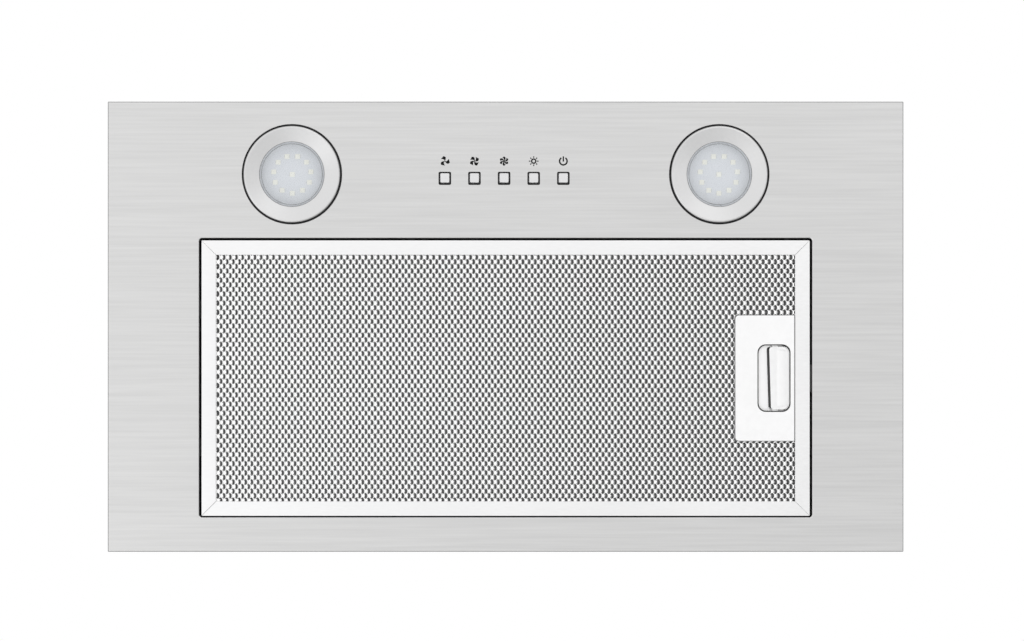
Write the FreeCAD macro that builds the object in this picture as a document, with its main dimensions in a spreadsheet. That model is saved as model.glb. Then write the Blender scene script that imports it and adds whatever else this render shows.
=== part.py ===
import FreeCAD, Part
import math
import os
import re

import Sketcher

# A built-in range hood insert, installed way up: +Z is up, towards the duct. The origin is the middle
# of the face plate at the level of its folded lip, which bears on the underside of the cabinet. The
# buttons and lamps are at the front, -Y. The grease filter is hinged at the left, -X.

doc = FreeCAD.newDocument("range_hood_insert")
sheet = doc.addObject("Spreadsheet::Sheet", "sizes")

driving = {
    # face plate, one folded steel sheet
    "panel_length": 525,
    "panel_width": 297,
    "panel_gauge": 0.8,
    "fold_height": 6,
    "fold_lip": 8,
    # filter opening and the seat frame round it
    "opening_length": 404.5,
    "opening_width": 184.2,
    "opening_shift": 33.65,
    "opening_corner": 2,
    "seat_wall": 0.8,
    "seat_lip": 5,
    "seat_flange": 2.7,
    "seat_play": 0.2,
    # body, a tub of thin galvanised sheet
    "body_length": 489,
    "body_width": 261,
    "body_height": 180,
    "body_wall": 0.8,
    "body_flange": 5.5,
    "partition_line": 66,
    "partition_wall": 0.8,
    "partition_play": 0.3,
    # outlet collar, which a round duct slides over
    "duct_bore": 150,
    "duct_play": 0.5,
    "collar_wall": 2,
    "collar_height": 45,
    "collar_flange": 13.5,
    "collar_flange_thick": 2,
    "collar_screw_circle": 164,
    "stop_ring": 3.5,
    "stop_ring_thick": 2.2,
    "stop_ring_level": 4.5,
    # non-return flaps on one pin
    "flap_pin_radius": 1.5,
    "flap_knuckle_wall": 1.45,
    "flap_knuckle_play": 0.6,
    "flap_thick": 1.2,
    "flap_play": 1,
    "flap_seat_gap": 0.3,
    "knuckle_width": 20,
    "knuckle_gap": 2,
    "front_knuckle_start": 40,
    # fan housing, a scroll in two halves
    "fan_shift": 36,
    "fan_level": 96,
    "scroll_width": 102,
    "scroll_wall": 2,
    "scroll_start": 70,
    "scroll_end": 88,
    "tongue_radius": 65,
    "tongue_turn": 80,
    "inlet_radius": 52,
    "inlet_lip_wall": 1.5,
    "inlet_lip_height": 3,
    "outlet_flange": 80,
    "lug_radius": 4,
    "lug_length": 8,
    "front_lug_drop": 28,
    "rear_lug_drop": 10,
    # fan wheel, blown from both sides
    "wheel_radius": 60,
    "wheel_width": 90,
    "blade_depth": 10,
    "blade_thick": 1.2,
    "blade_sweep": 9,
    "blade_bow": 2,
    "blade_count": 36,
    "blade_play": 0.05,
    "blade_tip_gap": 1.2,
    "wheel_ring_thick": 2,
    "hub_disc_thick": 2,
    "hub_radius": 12,
    "hub_length": 24,
    # motor
    "motor_radius": 40,
    "motor_length": 70,
    "motor_gap": 2,
    "motor_wall": 2,
    "motor_end_wall": 3,
    "shaft_radius": 4,
    "shaft_play": 0.03,
    "bearing_radius": 9,
    "bearing_width": 7,
    "bearing_boss": 3,
    "stator_width": 30,
    "stator_bore": 24,
    "air_gap": 0.5,
    "winding_width": 7,
    "winding_inner": 26,
    "winding_outer": 33.5,
    "motor_vent_radius": 6,
    "motor_vent_circle": 26,
    "motor_bolt_circle": 35.5,
    "lead_hole_turn": 30,
    # motor bracket on rubber mounts
    "bracket_ring_wall": 4,
    "bracket_ring_width": 6,
    "bracket_arm_thick": 1.5,
    "bracket_arm_width": 16,
    "mount_circle": 66,
    "mount_radius": 5,
    "mount_height": 5,
    # screws
    "screw_radius": 1.5,
    "screw_play": 0.1,
    "short_screw": 5,
    "long_screw": 9,
    "screw_head_radius": 3,
    "screw_head": 2,
    # grease filter
    "filter_thick": 9,
    "filter_end_gap": 1.5,
    "filter_front_gap": 1.45,
    "filter_back_gap": 0.85,
    "rail_face": 9.6,
    "rail_wall": 1,
    "screen_thick": 0.8,
    "screen_hole_length": 13.2,
    "screen_hole_width": 20,
    "screen_columns": 23,
    "screen_rows": 13,
    "screen_seat": 8.4,
    "core_pitch": 12,
    "core_foil": 0.4,
    # spring tabs that the filter hangs and turns on
    "tab_spacing": 90.8,
    "tab_width": 12,
    "tab_thick": 1,
    "tab_reach": 4.1,
    "tab_eye": 1.4,
    "tab_slot_play": 0.8,
    "tab_inside": 6.7,
    # filter latch
    "latch_length": 39.8,
    "latch_width": 83.7,
    "latch_corner": 1.5,
    "latch_sink": 0.2,
    "cover_thick": 1.2,
    "recess_length": 21.5,
    "recess_width": 44.4,
    "recess_corner": 4.3,
    "recess_inset": 3.65,
    "finger_gap": 8.6,
    "finger_side_play": 0.4,
    "dish_radius": 16,
    "dish_depth": 2.2,
    "slide_play": 0.3,
    "slide_thick": 2.8,
    "slide_side_play": 1.1,
    "ear_length": 4,
    "latch_spring_length": 13,
    "tray_depth": 3.4,
    "tray_wall": 0.6,
    "tray_length": 37,
    "tray_width": 72,
    "spring_stop": 28.05,
    "latch_spring_radius": 1.4,
    "latch_spring_wire": 0.5,
    "latch_spring_offset": 28,
    "tongue_width": 18,
    "tongue_thick": 1.5,
    "tongue_reach": 3,
    "strike_play": 0.2,
    # lamps
    "lamp_spacing": 282,
    "lamp_line": 100.6,
    "lamp_hole_radius": 29,
    "bezel_radius": 32.5,
    "bezel_crest": 2.6,
    "bezel_dip": 1,
    "bezel_rim": 0.9,
    "bezel_play": 0.5,
    "bezel_wall": 1.5,
    "bezel_spigot": 14,
    "lens_opening": 21.5,
    "lens_ledge": 1.1,
    "lens_thick": 1.5,
    "lens_play": 0.15,
    "lamp_height": 22,
    "lamp_wall": 1.4,
    "board_lift": 3.3,
    "board_thick": 1.4,
    "led_circle": 12.4,
    "led_size": 2.8,
    "led_height": 0.7,
    "led_count": 11,
    "clip_thick": 0.6,
    "clip_width": 10,
    "clip_reach": 8,
    "clip_root": 3,
    "clip_play": 0.05,
    # push buttons
    "button_pitch": 19.55,
    "button_shift": -1,
    "button_line": 97.9,
    "button_hole_length": 8.3,
    "button_hole_width": 8.7,
    "button_hole_corner": 1,
    "cap_length": 6.3,
    "cap_width": 6.5,
    "cap_shift": 0.3,
    "cap_proud": 0.6,
    "cap_play": 0.2,
    "cap_flange": 0.6,
    "cap_flange_thick": 1,
    "cap_corner": 0.6,
    "stem_size": 3,
    "stem_length": 5,
    "button_travel": 3,
    "guide_play": 0.1,
    "guide_thick": 2,
    "guide_margin": 5.6,
    "guide_width": 18,
    "switch_margin": 8,
    "switch_width": 24,
    "switch_height": 17.2,
    "stem_play": 0.2,
    "button_spring_length": 4.3,
    "button_spring_radius": 1.3,
    "button_spring_wire": 0.4,
    # electrics bay
    "box_length": 160,
    "box_depth": 53,
    "box_height": 40,
    "box_wall": 2,
    "box_level": 45,
    "capacitor_radius": 13,
    "capacitor_length": 50,
    "capacitor_offset": 35,
    "capacitor_inset": 26.7,
    "clip_ring_wall": 1.5,
    "clip_ring_play": 0.1,
    "clip_ring_length": 16,
    "clip_foot_width": 36,
    "clip_mouth_width": 16,
    "terminal_length": 46,
    "terminal_depth": 16,
    "terminal_height": 16,
    "terminal_offset": 47,
    "terminal_inset": 39.7,
    "gland_offset": 170,
    "gland_inset": 31.7,
    "switch_lead_shift": 0.1,
    "gland_bore": 8,
    "gland_thread_radius": 7.8,
    "gland_nut_radius": 11,
    "gland_dome_radius": 9,
    "gland_height": 14,
    "gland_nut": 4.5,
    "lamp_lead_radius": 1.5,
    "motor_lead_radius": 2,
    "motor_lead_offset": 15,
    "lead_lift": 8,
    "lamp_lead_lift": 17,
    "lead_play": 0.3,
    # spring clips that hold the body in the cabinet's cut-out
    "cabinet_clip_width": 24,
    "cabinet_clip_gauge": 1,
    "cabinet_clip_top": 80,
    "cabinet_clip_bend": 60.5,
    "cabinet_clip_nose": 11.5,
    "cabinet_clip_nose_level": 30,
    "cabinet_clip_return": 5.5,
    "cabinet_clip_drop": 10,
    "cabinet_clip_screw_level": 70,
    "cabinet_clip_screw_spacing": 16,
    "side_hole_radius": 2.25,
    "side_hole_spacing": 180,
    "side_hole_level": 40,
}

# Places and sizes worked out from the driving ones, each an expression of the sheet's names.
worked_out = {
    "face": "-fold_height",
    "plate_back": "face + panel_gauge",
    "opening_end": "opening_length / 2",
    "opening_front": "opening_shift - opening_width / 2",
    "opening_back": "opening_shift + opening_width / 2",
    "body_end": "body_length / 2",
    "body_side": "body_width / 2",
    "body_inner_end": "body_end - body_wall",
    "body_inner_side": "body_side - body_wall",
    "body_roof": "body_height - body_wall",
    "partition_back": "-partition_line",
    "partition_front": "partition_back - partition_wall",
    "hole_radius": "screw_radius + screw_play",
    # outlet
    "collar_radius": "duct_bore / 2 - duct_play",
    "collar_bore": "collar_radius - collar_wall",
    "collar_top": "body_height + collar_height",
    "collar_flange_top": "body_height + collar_flange_thick",
    "stop_ring_bottom": "body_height + stop_ring_level",
    "stop_ring_top": "stop_ring_bottom + stop_ring_thick",
    "flap_bottom": "stop_ring_top + flap_seat_gap",
    "knuckle_radius": "flap_pin_radius + screw_play / 2 + flap_knuckle_wall",
    "flap_axis_level": "flap_bottom + knuckle_radius",
    "flap_radius": "collar_bore - flap_play",
    "flap_edge": "knuckle_radius + flap_knuckle_play",
    "rear_knuckle_start": "front_knuckle_start - knuckle_gap - knuckle_width",
    # fan housing
    "scroll_end_face": "scroll_width / 2",
    "scroll_rise": "scroll_end - scroll_start",
    "tongue_centre": "scroll_start - tongue_radius",
    "throat_edge": "tongue_centre + tongue_radius * cos(tongue_turn)",
    "tongue_top": "tongue_radius * sin(tongue_turn)",
    "scroll_top": "body_roof - fan_level",
    "lug_offset": "scroll_wall + screw_head_radius + 0.2",
    # motor
    "motor_start": "hub_length / 2 + motor_gap",
    "motor_end": "motor_start + motor_length",
    "motor_middle": "motor_start + motor_length / 2",
    "motor_inner": "motor_radius - motor_wall",
    "front_bearing": "motor_start + motor_end_wall",
    "rear_bearing": "motor_end - motor_end_wall - bearing_width",
    "stator_start": "motor_middle - stator_width / 2",
    "stator_end": "motor_middle + stator_width / 2",
    "arm_face": "scroll_end_face + mount_height",
    # grease filter
    "filter_low": "plate_back",
    "filter_high": "filter_low + filter_thick",
    "filter_end": "opening_end - filter_end_gap",
    "filter_front": "opening_front + filter_front_gap",
    "filter_back": "opening_back - filter_back_gap",
    "filter_line": "opening_shift + (filter_front_gap - filter_back_gap) / 2",
    "groove_low": "filter_low + rail_wall",
    "groove_high": "filter_high - rail_wall",
    "window_end": "filter_end - rail_face",
    "window_front": "filter_front + rail_face",
    "window_back": "filter_back - rail_face",
    "screen_end": "window_end + screen_seat",
    "screen_front": "window_front - screen_seat",
    "screen_back": "window_back + screen_seat",
    "seat_stop": "filter_high + seat_play",
    "seat_top": "seat_stop + seat_wall",
    "tab_low": "groove_low + screen_thick",
    "tab_middle": "tab_low + tab_thick / 2",
    "tab_pivot": "-(filter_end + tab_reach)",
    # latch
    "latch_right": "window_end - 0.1",
    "latch_left": "latch_right - latch_length",
    "cover_low": "filter_low + latch_sink",
    "cover_high": "cover_low + cover_thick",
    "recess_right": "latch_right - recess_inset",
    "recess_left": "recess_right - recess_length",
    "finger_left": "recess_left + finger_gap",
    "finger_right": "recess_right - finger_side_play",
    "slide_low": "cover_high + slide_play",
    "slide_high": "slide_low + slide_thick",
    "tray_roof": "cover_high + tray_depth",
    "tray_left": "latch_right - tray_length",
    "tray_inner": "tray_width / 2 - tray_wall",
    "spring_face": "latch_right - spring_stop",
    "finger_half": "recess_width / 2 - slide_side_play",
    "slide_right": "filter_end - rail_wall - 0.5",
    "tongue_tip": "opening_end + tongue_reach",
    "spring_level": "cover_high + tray_depth / 2",
    # lamps
    "spigot_radius": "lamp_hole_radius - bezel_play",
    "spigot_bore": "spigot_radius - bezel_wall",
    "bezel_front": "face - bezel_crest",
    "lens_seat_radius": "lens_opening + lens_ledge",
    "lens_radius": "lens_seat_radius - lens_play",
    "lens_low": "face + 0.05",
    "lens_high": "lens_low + lens_thick",
    "lamp_radius": "spigot_bore - lens_play",
    "lamp_bore": "lamp_radius - lamp_wall",
    "lamp_foot": "lens_high + 0.1",
    "lamp_top": "lamp_foot + lamp_height",
    "board_low": "lamp_foot + board_lift",
    "board_high": "board_low + board_thick",
    "spigot_top": "face + bezel_spigot",
    "clip_foot": "plate_back + clip_play",
    # buttons
    "cap_low": "face - cap_proud",
    "guide_top": "plate_back + guide_thick",
    "cap_stop": "guide_top + cap_play",
    "cap_high": "cap_stop + cap_flange_thick",
    "stem_top": "cap_high + stem_length",
    "cavity_top": "cap_high + button_travel + cap_play",
    "guide_end": "2 * button_pitch + button_hole_length / 2 + guide_margin",
    "switch_end": "2 * button_pitch + button_hole_length / 2 + switch_margin",
    "switch_top": "guide_top + switch_height",
    # electrics bay
    "capacitor_line": "body_inner_side - capacitor_inset",
    "terminal_back": "body_inner_side - terminal_inset",
    "gland_line": "body_inner_side - gland_inset",
    "switch_lead_line": "button_line + switch_lead_shift",
    "box_end": "box_length / 2",
    "box_front": "-body_inner_side",
    "box_back": "box_front + box_depth",
    "box_top": "box_level + box_height",
    "clip_ring_bore": "capacitor_radius + clip_ring_play",
    "capacitor_level": "box_level + box_wall + clip_ring_bore + clip_ring_wall",
    "terminal_level": "box_level + box_height / 2 - 4",
    "lead_level": "terminal_level + lead_lift",
    "motor_lead_line": "terminal_offset + motor_lead_offset",
    "lamp_lead_level": "box_level + lamp_lead_lift",
}

for row, (alias, value) in enumerate(driving.items(), 1):
    sheet.set(f"A{row}", alias)
    sheet.set(f"B{row}", str(value))
    sheet.setAlias(f"B{row}", alias)
doc.recompute()


def spell_out(expression, prefix=""):
    """Write an expression with the sheet's own names only."""

    def replace(found):
        word = found.group(0)
        if word in worked_out:
            return "(" + spell_out(worked_out[word], prefix) + ")"
        return prefix + word if word in driving else word

    return re.sub(r"[a-z_]+", replace, str(expression))


def size(expression):
    """The number that an expression comes to."""
    return float(sheet.evalExpression(spell_out(expression)))


def bind(thing, path, expression):
    thing.setExpression(path, spell_out(expression, "sizes."))


def put(thing, x, y, z):
    for letter, expression in zip("xyz", (x, y, z)):
        bind(thing, f"Placement.Base.{letter}", expression)


# Primitives and booleans


def box(across, along, up):
    """A block between three pairs of limits."""
    block = doc.addObject("Part::Box", "block")
    for side, (low, high) in zip(("Length", "Width", "Height"), (across, along, up)):
        bind(block, side, f"({high}) - ({low})")
    put(block, across[0], along[0], up[0])
    return block


turns = {
    "X": FreeCAD.Rotation(FreeCAD.Vector(0, 1, 0), 90),
    "Y": FreeCAD.Rotation(FreeCAD.Vector(1, 0, 0), -90),
    "Z": FreeCAD.Rotation(),
}


def rod(axis, centre, radius, start, end):
    """A cylinder along a row axis; centre holds its other two coordinates, in order."""
    bar = doc.addObject("Part::Cylinder", "bar")
    bar.Placement = FreeCAD.Placement(FreeCAD.Vector(), turns[axis])
    bind(bar, "Radius", radius)
    bind(bar, "Height", f"({end}) - ({start})")
    place = list(centre)
    place.insert("XYZ".index(axis), start)
    put(bar, *place)
    return bar


def cut(base, *tools):
    for tool in tools:
        result = doc.addObject("Part::Cut", "cut")
        result.Base = base
        result.Tool = tool
        base = result
    return base


def join(*pieces):
    result = doc.addObject("Part::MultiFuse", "join")
    result.Shapes = list(pieces)
    result.Refine = True
    return result


def overlap(first, second):
    result = doc.addObject("Part::Common", "overlap")
    result.Base = first
    result.Tool = second
    return result


def group(*pieces):
    """Separate solids that make one node."""
    result = doc.addObject("Part::Compound", "group")
    result.Links = list(pieces)
    return result


def ring(axis, centre, outer, inner, start, end):
    return cut(rod(axis, centre, outer, start, end), rod(axis, centre, inner, start, end))


def screw(axis, centre, length, seat, way=1):
    """A pan head screw whose head stands on the seat, with a shank of a length below it."""
    start = f"({seat}) - ({way}) * ({length})"
    head_end = f"({seat}) + ({way}) * screw_head"
    shank = (start, seat) if way > 0 else (seat, start)
    head = (seat, head_end) if way > 0 else (head_end, seat)
    return join(
        rod(axis, centre, "screw_radius", *shank),
        rod(axis, centre, "screw_head_radius", *head),
    )


# Sketches, pads and turned pieces


def origin_part(body, role):
    for feature in body.Origin.OriginFeatures:
        if feature.Role == role:
            return feature


def new_body():
    return doc.addObject("PartDesign::Body", "body")


def sketch_on(body, plane, level="0"):
    """A sketch on one of the body's own planes, moved along the plane's normal."""
    sketch = body.newObject("Sketcher::SketchObject", "sketch")
    sketch.AttachmentSupport = [(origin_part(body, plane + "_Plane"), "")]
    sketch.MapMode = "FlatFace"
    bind(sketch, "AttachmentOffset.Base.z", level)
    return sketch


def arc_edge(start, end, centre):
    """The shorter arc between two points. Returns it and whether it runs from start to end."""
    first, last = start - centre, end - centre
    forward = first.cross(last).z > 0
    if not forward:
        first, last = last, first
    low = math.atan2(first.y, first.x)
    high = math.atan2(last.y, last.x)
    if high < low:
        high += 2 * math.pi
    circle = Part.Circle(centre, FreeCAD.Vector(0, 0, 1), first.Length)
    return Part.ArcOfCircle(circle, low, high), forward


def outline(sketch, corners):
    """A closed outline. A corner (x, y) starts a line, and (x, y, centre x, centre y) an arc."""
    count = len(corners)
    points = [FreeCAD.Vector(size(c[0]), size(c[1]), 0) for c in corners]
    base = sketch.GeometryCount
    starts = []
    for i, corner in enumerate(corners):
        here, there = points[i], points[(i + 1) % count]
        if len(corner) == 2:
            sketch.addGeometry(Part.LineSegment(here, there), False)
            starts.append(1)
            continue
        centre = FreeCAD.Vector(size(corner[2]), size(corner[3]), 0)
        arc, forward = arc_edge(here, there, centre)
        sketch.addGeometry(arc, False)
        starts.append(1 if forward else 2)
    for i in range(count):
        after = (i + 1) % count
        link = Sketcher.Constraint("Coincident", base + i, 3 - starts[i], base + after, starts[after])
        sketch.addConstraint(link)
    for i, corner in enumerate(corners):
        pin_point(sketch, base + i, starts[i], "DistanceX", corner[0])
        pin_point(sketch, base + i, starts[i], "DistanceY", corner[1])
        if len(corner) > 2:
            chord = points[(i + 1) % count] - points[i]
            side = 0 if abs(chord.y) >= abs(chord.x) else 1
            pin_point(sketch, base + i, 3, ("DistanceX", "DistanceY")[side], corner[2 + side])
    return sketch


def pin_point(sketch, edge, point, kind, expression):
    number = sketch.addConstraint(Sketcher.Constraint(kind, -1, 1, edge, point, size(expression)))
    bind(sketch, f"Constraints[{number}]", expression)


def circle(sketch, x, y, radius):
    centre = FreeCAD.Vector(size(x), size(y), 0)
    edge = sketch.addGeometry(Part.Circle(centre, FreeCAD.Vector(0, 0, 1), size(radius)), False)
    pin_point(sketch, edge, 3, "DistanceX", x)
    pin_point(sketch, edge, 3, "DistanceY", y)
    number = sketch.addConstraint(Sketcher.Constraint("Radius", edge, size(radius)))
    bind(sketch, f"Constraints[{number}]", radius)
    return sketch


def pad(body, sketch, length):
    feature = body.newObject("PartDesign::Pad", "pad")
    feature.Profile = sketch
    bind(feature, "Length", length)
    return feature


def prism(plane, corners, start, end):
    """An outline pushed between two levels along the row axis square to its plane."""
    body = new_body()
    level = f"-({end})" if plane == "XZ" else start
    pad(body, outline(sketch_on(body, plane, level), corners), f"({end}) - ({start})")
    return body


def turned(axis, corners):
    """An outline turned about X or Z. Its corners are (along the axis, radius), in mm."""
    body = new_body()
    if axis == "Z":
        corners = [swapped(corner) for corner in corners]
    sketch = outline(sketch_on(body, "XZ" if axis == "Z" else "XY"), corners)
    feature = body.newObject("PartDesign::Revolution", "turned")
    feature.Profile = sketch
    feature.ReferenceAxis = (sketch, ["V_Axis" if axis == "Z" else "H_Axis"])
    return body


def swapped(corner):
    if len(corner) == 2:
        return corner[1], corner[0]
    return corner[1], corner[0], corner[3], corner[2]


def round_corners(left, right, front, back, corner):
    """The outline of a rectangle with four round corners."""
    inner_left, inner_right = f"({left}) + ({corner})", f"({right}) - ({corner})"
    inner_front, inner_back = f"({front}) + ({corner})", f"({back}) - ({corner})"
    return [
        (inner_left, front),
        (inner_right, front, inner_right, inner_front),
        (right, inner_front),
        (right, inner_back, inner_right, inner_back),
        (inner_right, back),
        (inner_left, back, inner_left, inner_back),
        (left, inner_back),
        (left, inner_front, inner_left, inner_front),
    ]


def around(count, radius, first="0"):
    """Places on a circle about the fan's axis, as (y, z)."""
    places = []
    for i in range(count):
        turn = f"({first}) + {i} * 360 / {count}"
        places.append((
            f"fan_shift + ({radius}) * cos({turn})",
            f"fan_level + ({radius}) * sin({turn})",
        ))
    return places


nodes = []


def node(thing, label):
    thing.Label = label
    nodes.append(thing)


# Face plate, filter seat and body

panel_edge = ("-panel_length / 2", "panel_length / 2")
panel_side = ("-panel_width / 2", "panel_width / 2")
inner_edge = ("-panel_length / 2 + panel_gauge", "panel_length / 2 - panel_gauge")
inner_side = ("-panel_width / 2 + panel_gauge", "panel_width / 2 - panel_gauge")
lip_edge = ("-panel_length / 2 + fold_lip", "panel_length / 2 - fold_lip")
lip_side = ("-panel_width / 2 + fold_lip", "panel_width / 2 - fold_lip")
opening_outline = round_corners(
    "-opening_end", "opening_end", "opening_front", "opening_back", "opening_corner"
)
button_places = [f"button_shift + {i} * button_pitch" for i in range(-2, 3)]
lamp_places = ["-lamp_spacing / 2", "lamp_spacing / 2"]


def button_holes(length, width, low, high, shift="0", corner=None):
    """One block for each button, centred on it, with upright edges rounded where a corner is given."""
    middle = f"-button_line + ({shift})"
    holes = []
    for place in button_places:
        across = (f"{place} - ({length}) / 2", f"{place} + ({length}) / 2")
        along = (f"{middle} - ({width}) / 2", f"{middle} + ({width}) / 2")
        if corner:
            holes.append(prism("XY", round_corners(*across, *along, corner), low, high))
        else:
            holes.append(box(across, along, (low, high)))
    return holes


plate = cut(
    box(panel_edge, panel_side, ("face", "0")),
    box(inner_edge, inner_side, ("plate_back", "-panel_gauge")),
    box(lip_edge, lip_side, ("-panel_gauge", "panel_gauge")),
    prism("XY", opening_outline, "face - 1", "plate_back + 1"),
)
for place in lamp_places:
    plate = cut(plate, rod("Z", (place, "-lamp_line"), "lamp_hole_radius", "face - 1", "plate_back + 1"))
button_openings = button_holes(
    "button_hole_length", "button_hole_width", "face - 1", "plate_back + 1", corner="button_hole_corner"
)
plate = cut(plate, *button_openings)
node(plate, "face_plate")


def spread(low, high, by):
    """Limits moved outwards by a distance."""
    return f"({low}) - ({by})", f"({high}) + ({by})"


def sorted_limits(way, near, far):
    """Limits from near to far on the side that way points to, low one first."""
    return (near, far) if way > 0 else (f"-({far})", f"-({near})")


tab_lines = [f"filter_line + {side} * tab_spacing / 2" for side in (-1, 1)]
seat = cut(
    join(
        box(
            spread("-opening_end", "opening_end", "seat_wall"),
            spread("opening_front", "opening_back", "seat_wall"),
            ("plate_back", "seat_top"),
        ),
        box(
            spread("-opening_end", "opening_end", "seat_wall + seat_flange"),
            spread("opening_front", "opening_back", "seat_wall + seat_flange"),
            ("plate_back", "plate_back + seat_wall"),
        ),
    ),
    box(("-opening_end", "opening_end"), ("opening_front", "opening_back"), ("plate_back", "seat_stop")),
    box(
        spread("-opening_end", "opening_end", "-seat_lip"),
        spread("opening_front", "opening_back", "-seat_lip"),
        ("seat_stop - 1", "seat_top + 1"),
    ),
    box(
        ("opening_end - 1", "opening_end + seat_wall"),
        spread("filter_line", "filter_line", "tongue_width / 2 + slide_play"),
        ("slide_low - strike_play", "slide_low + tongue_thick + slide_play"),
    ),
)
for line in tab_lines:
    slot = box(
        ("tab_pivot + tab_eye / 2", "-opening_end + 1"),
        spread(line, line, "tab_width / 2 + tab_slot_play"),
        ("plate_back", "tab_low + tab_thick + tab_slot_play"),
    )
    seat = cut(seat, slot)
node(seat, "filter_seat")

collar_places = []
for quarter in range(4):
    turn = f"45 + {quarter} * 90"
    reach = "collar_screw_circle / 2"
    collar_places.append((f"{reach} * cos({turn})", f"{reach} * sin({turn})"))
through_roof = ("body_roof - 1", "body_height + 1")
roof = cut(
    box(("-body_end", "body_end"), ("-body_side", "body_side"), ("body_roof", "body_height")),
    rod("Z", ("0", "0"), "collar_bore", *through_roof),
    rod("Z", ("gland_offset", "-gland_line"), "gland_thread_radius + screw_play", *through_roof),
    *[rod("Z", place, "hole_radius", *through_roof) for place in collar_places],
)
node(roof, "body_roof")

wall_levels = ("plate_back", "body_roof")
flange_levels = ("plate_back", "plate_back + body_wall")
for way, label in ((-1, "body_front"), (1, "body_rear")):
    wall = sorted_limits(way, "body_inner_side", "body_side")
    flange = sorted_limits(way, "body_inner_side", "body_side + body_flange")
    panel = join(
        box(("-body_end", "body_end"), wall, wall_levels),
        box(spread("-body_end", "body_end", "body_flange"), flange, flange_levels),
    )
    node(panel, label)
for way, label in ((-1, "body_left"), (1, "body_right")):
    wall = sorted_limits(way, "body_inner_end", "body_end")
    panel = join(
        box(wall, ("-body_inner_side", "body_inner_side"), wall_levels),
        box(sorted_limits(way, "body_inner_end", "body_end + body_flange"),
            ("-body_inner_side", "body_inner_side"), flange_levels),
    )
    across = (f"({wall[0]}) - 1", f"({wall[1]}) + 1")
    for side in (-1, 1):
        hole_line = f"{side} * side_hole_spacing / 2"
        panel = cut(panel, rod("X", (hole_line, "side_hole_level"), "side_hole_radius", *across))
        screw_line = f"{side} * cabinet_clip_screw_spacing / 2"
        panel = cut(panel, rod("X", (screw_line, "cabinet_clip_screw_level"), "hole_radius", *across))
    node(panel, label)

partition = cut(
    box(
        ("-body_inner_end", "body_inner_end"),
        ("partition_front", "partition_back"),
        ("plate_back + seat_wall", "body_roof"),
    ),
    box(
        spread("-outlet_flange", "outlet_flange", "partition_play"),
        ("partition_front - 1", "partition_back + 1"),
        ("body_roof - scroll_wall - partition_play", "body_roof + 1"),
    ),
    rod(
        "Y",
        ("motor_lead_line", "lead_level"),
        "motor_lead_radius + lead_play",
        "partition_front - 1",
        "partition_back + 1",
    ),
)
node(partition, "front_partition")

# Outlet collar, its screws and the two flaps on their pin

collar = cut(
    join(
        rod("Z", ("0", "0"), "collar_radius", "body_height", "collar_top"),
        rod("Z", ("0", "0"), "collar_radius + collar_flange", "body_height", "collar_flange_top"),
    ),
    rod("Z", ("0", "0"), "collar_bore", "body_height - 1", "stop_ring_bottom"),
    rod("Z", ("0", "0"), "collar_bore - stop_ring", "stop_ring_bottom - 1", "stop_ring_top + 1"),
    rod("Z", ("0", "0"), "collar_bore", "stop_ring_top", "collar_top + 1"),
    rod(
        "X",
        ("0", "flap_axis_level"),
        "flap_pin_radius + screw_play / 2",
        "-collar_radius - 1",
        "collar_radius + 1",
    ),
)
for place in collar_places:
    collar = cut(collar, rod("Z", place, "hole_radius", "body_height - 1", "collar_flange_top + 1"))
node(collar, "outlet_collar")
short_screws = [screw("Z", place, "short_screw", "collar_flange_top") for place in collar_places]
node(
    rod("X", ("0", "flap_axis_level"), "flap_pin_radius", "-collar_radius + 0.1", "collar_radius - 0.1"),
    "flap_pin",
)


def flap(way, knuckle_start):
    """Half a disc with two knuckles on the pin; way is -1 for the front one."""
    half = overlap(
        rod("Z", ("0", "0"), "flap_radius", "flap_bottom", "flap_bottom + flap_thick"),
        box(
            ("-collar_radius", "collar_radius"),
            ("-collar_radius", "-flap_edge") if way < 0 else ("flap_edge", "collar_radius"),
            ("flap_bottom", "flap_bottom + flap_thick"),
        ),
    )
    pieces = [half]
    for side in (-1, 1):
        ends = (f"{side} * ({knuckle_start})", f"{side} * ({knuckle_start} + knuckle_width)")
        low, high = ends if side > 0 else ends[::-1]
        pieces.append(rod("X", ("0", "flap_axis_level"), "knuckle_radius", low, high))
        along = ("-flap_edge - 1", "0") if way < 0 else ("0", "flap_edge + 1")
        pieces.append(box((low, high), along, ("flap_bottom", "flap_bottom + flap_thick")))
    bore = "flap_pin_radius + screw_play / 2"
    hole = rod("X", ("0", "flap_axis_level"), bore, "-collar_radius", "collar_radius")
    return cut(join(*pieces), hole)


node(flap(-1, "front_knuckle_start"), "flap_front")
node(flap(1, "rear_knuckle_start"), "flap_rear")

# Fan housing: a scroll about the fan's axis, in two halves that meet at the middle


def scroll_outline(wall):
    """The scroll's outline in (y, z) from the fan's axis, grown by a wall."""
    start, end = f"scroll_start + {wall}", f"scroll_end + {wall}"
    tongue = f"tongue_radius + {wall}"
    edge = f"(throat_edge + {wall})"
    if wall == "0":
        tongue_height = "tongue_top"
    else:
        tongue_height = f"sqrt(pow({tongue}; 2) - pow({edge} - tongue_centre; 2))"
    return [
        (start, "0", "0", "0"),
        ("0", f"-({start})", "0", "scroll_rise"),
        (f"-({end})", "scroll_rise"),
        (f"-({end})", "scroll_top"),
        (edge, "scroll_top"),
        (edge, tongue_height, "tongue_centre", "0"),
    ]


lug_places = [
    ("(scroll_start + lug_offset) * cos(-45)", "(scroll_start + lug_offset) * sin(-45)"),
    ("(scroll_end + lug_offset) * cos(225)", "scroll_rise + (scroll_end + lug_offset) * sin(225)"),
    ("-(scroll_end + lug_offset)", "scroll_top - front_lug_drop"),
    ("throat_edge + lug_offset", "scroll_top - rear_lug_drop"),
]
lug_rows = [(f"fan_shift + {y}", f"fan_level + {z}") for y, z in lug_places]


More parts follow.
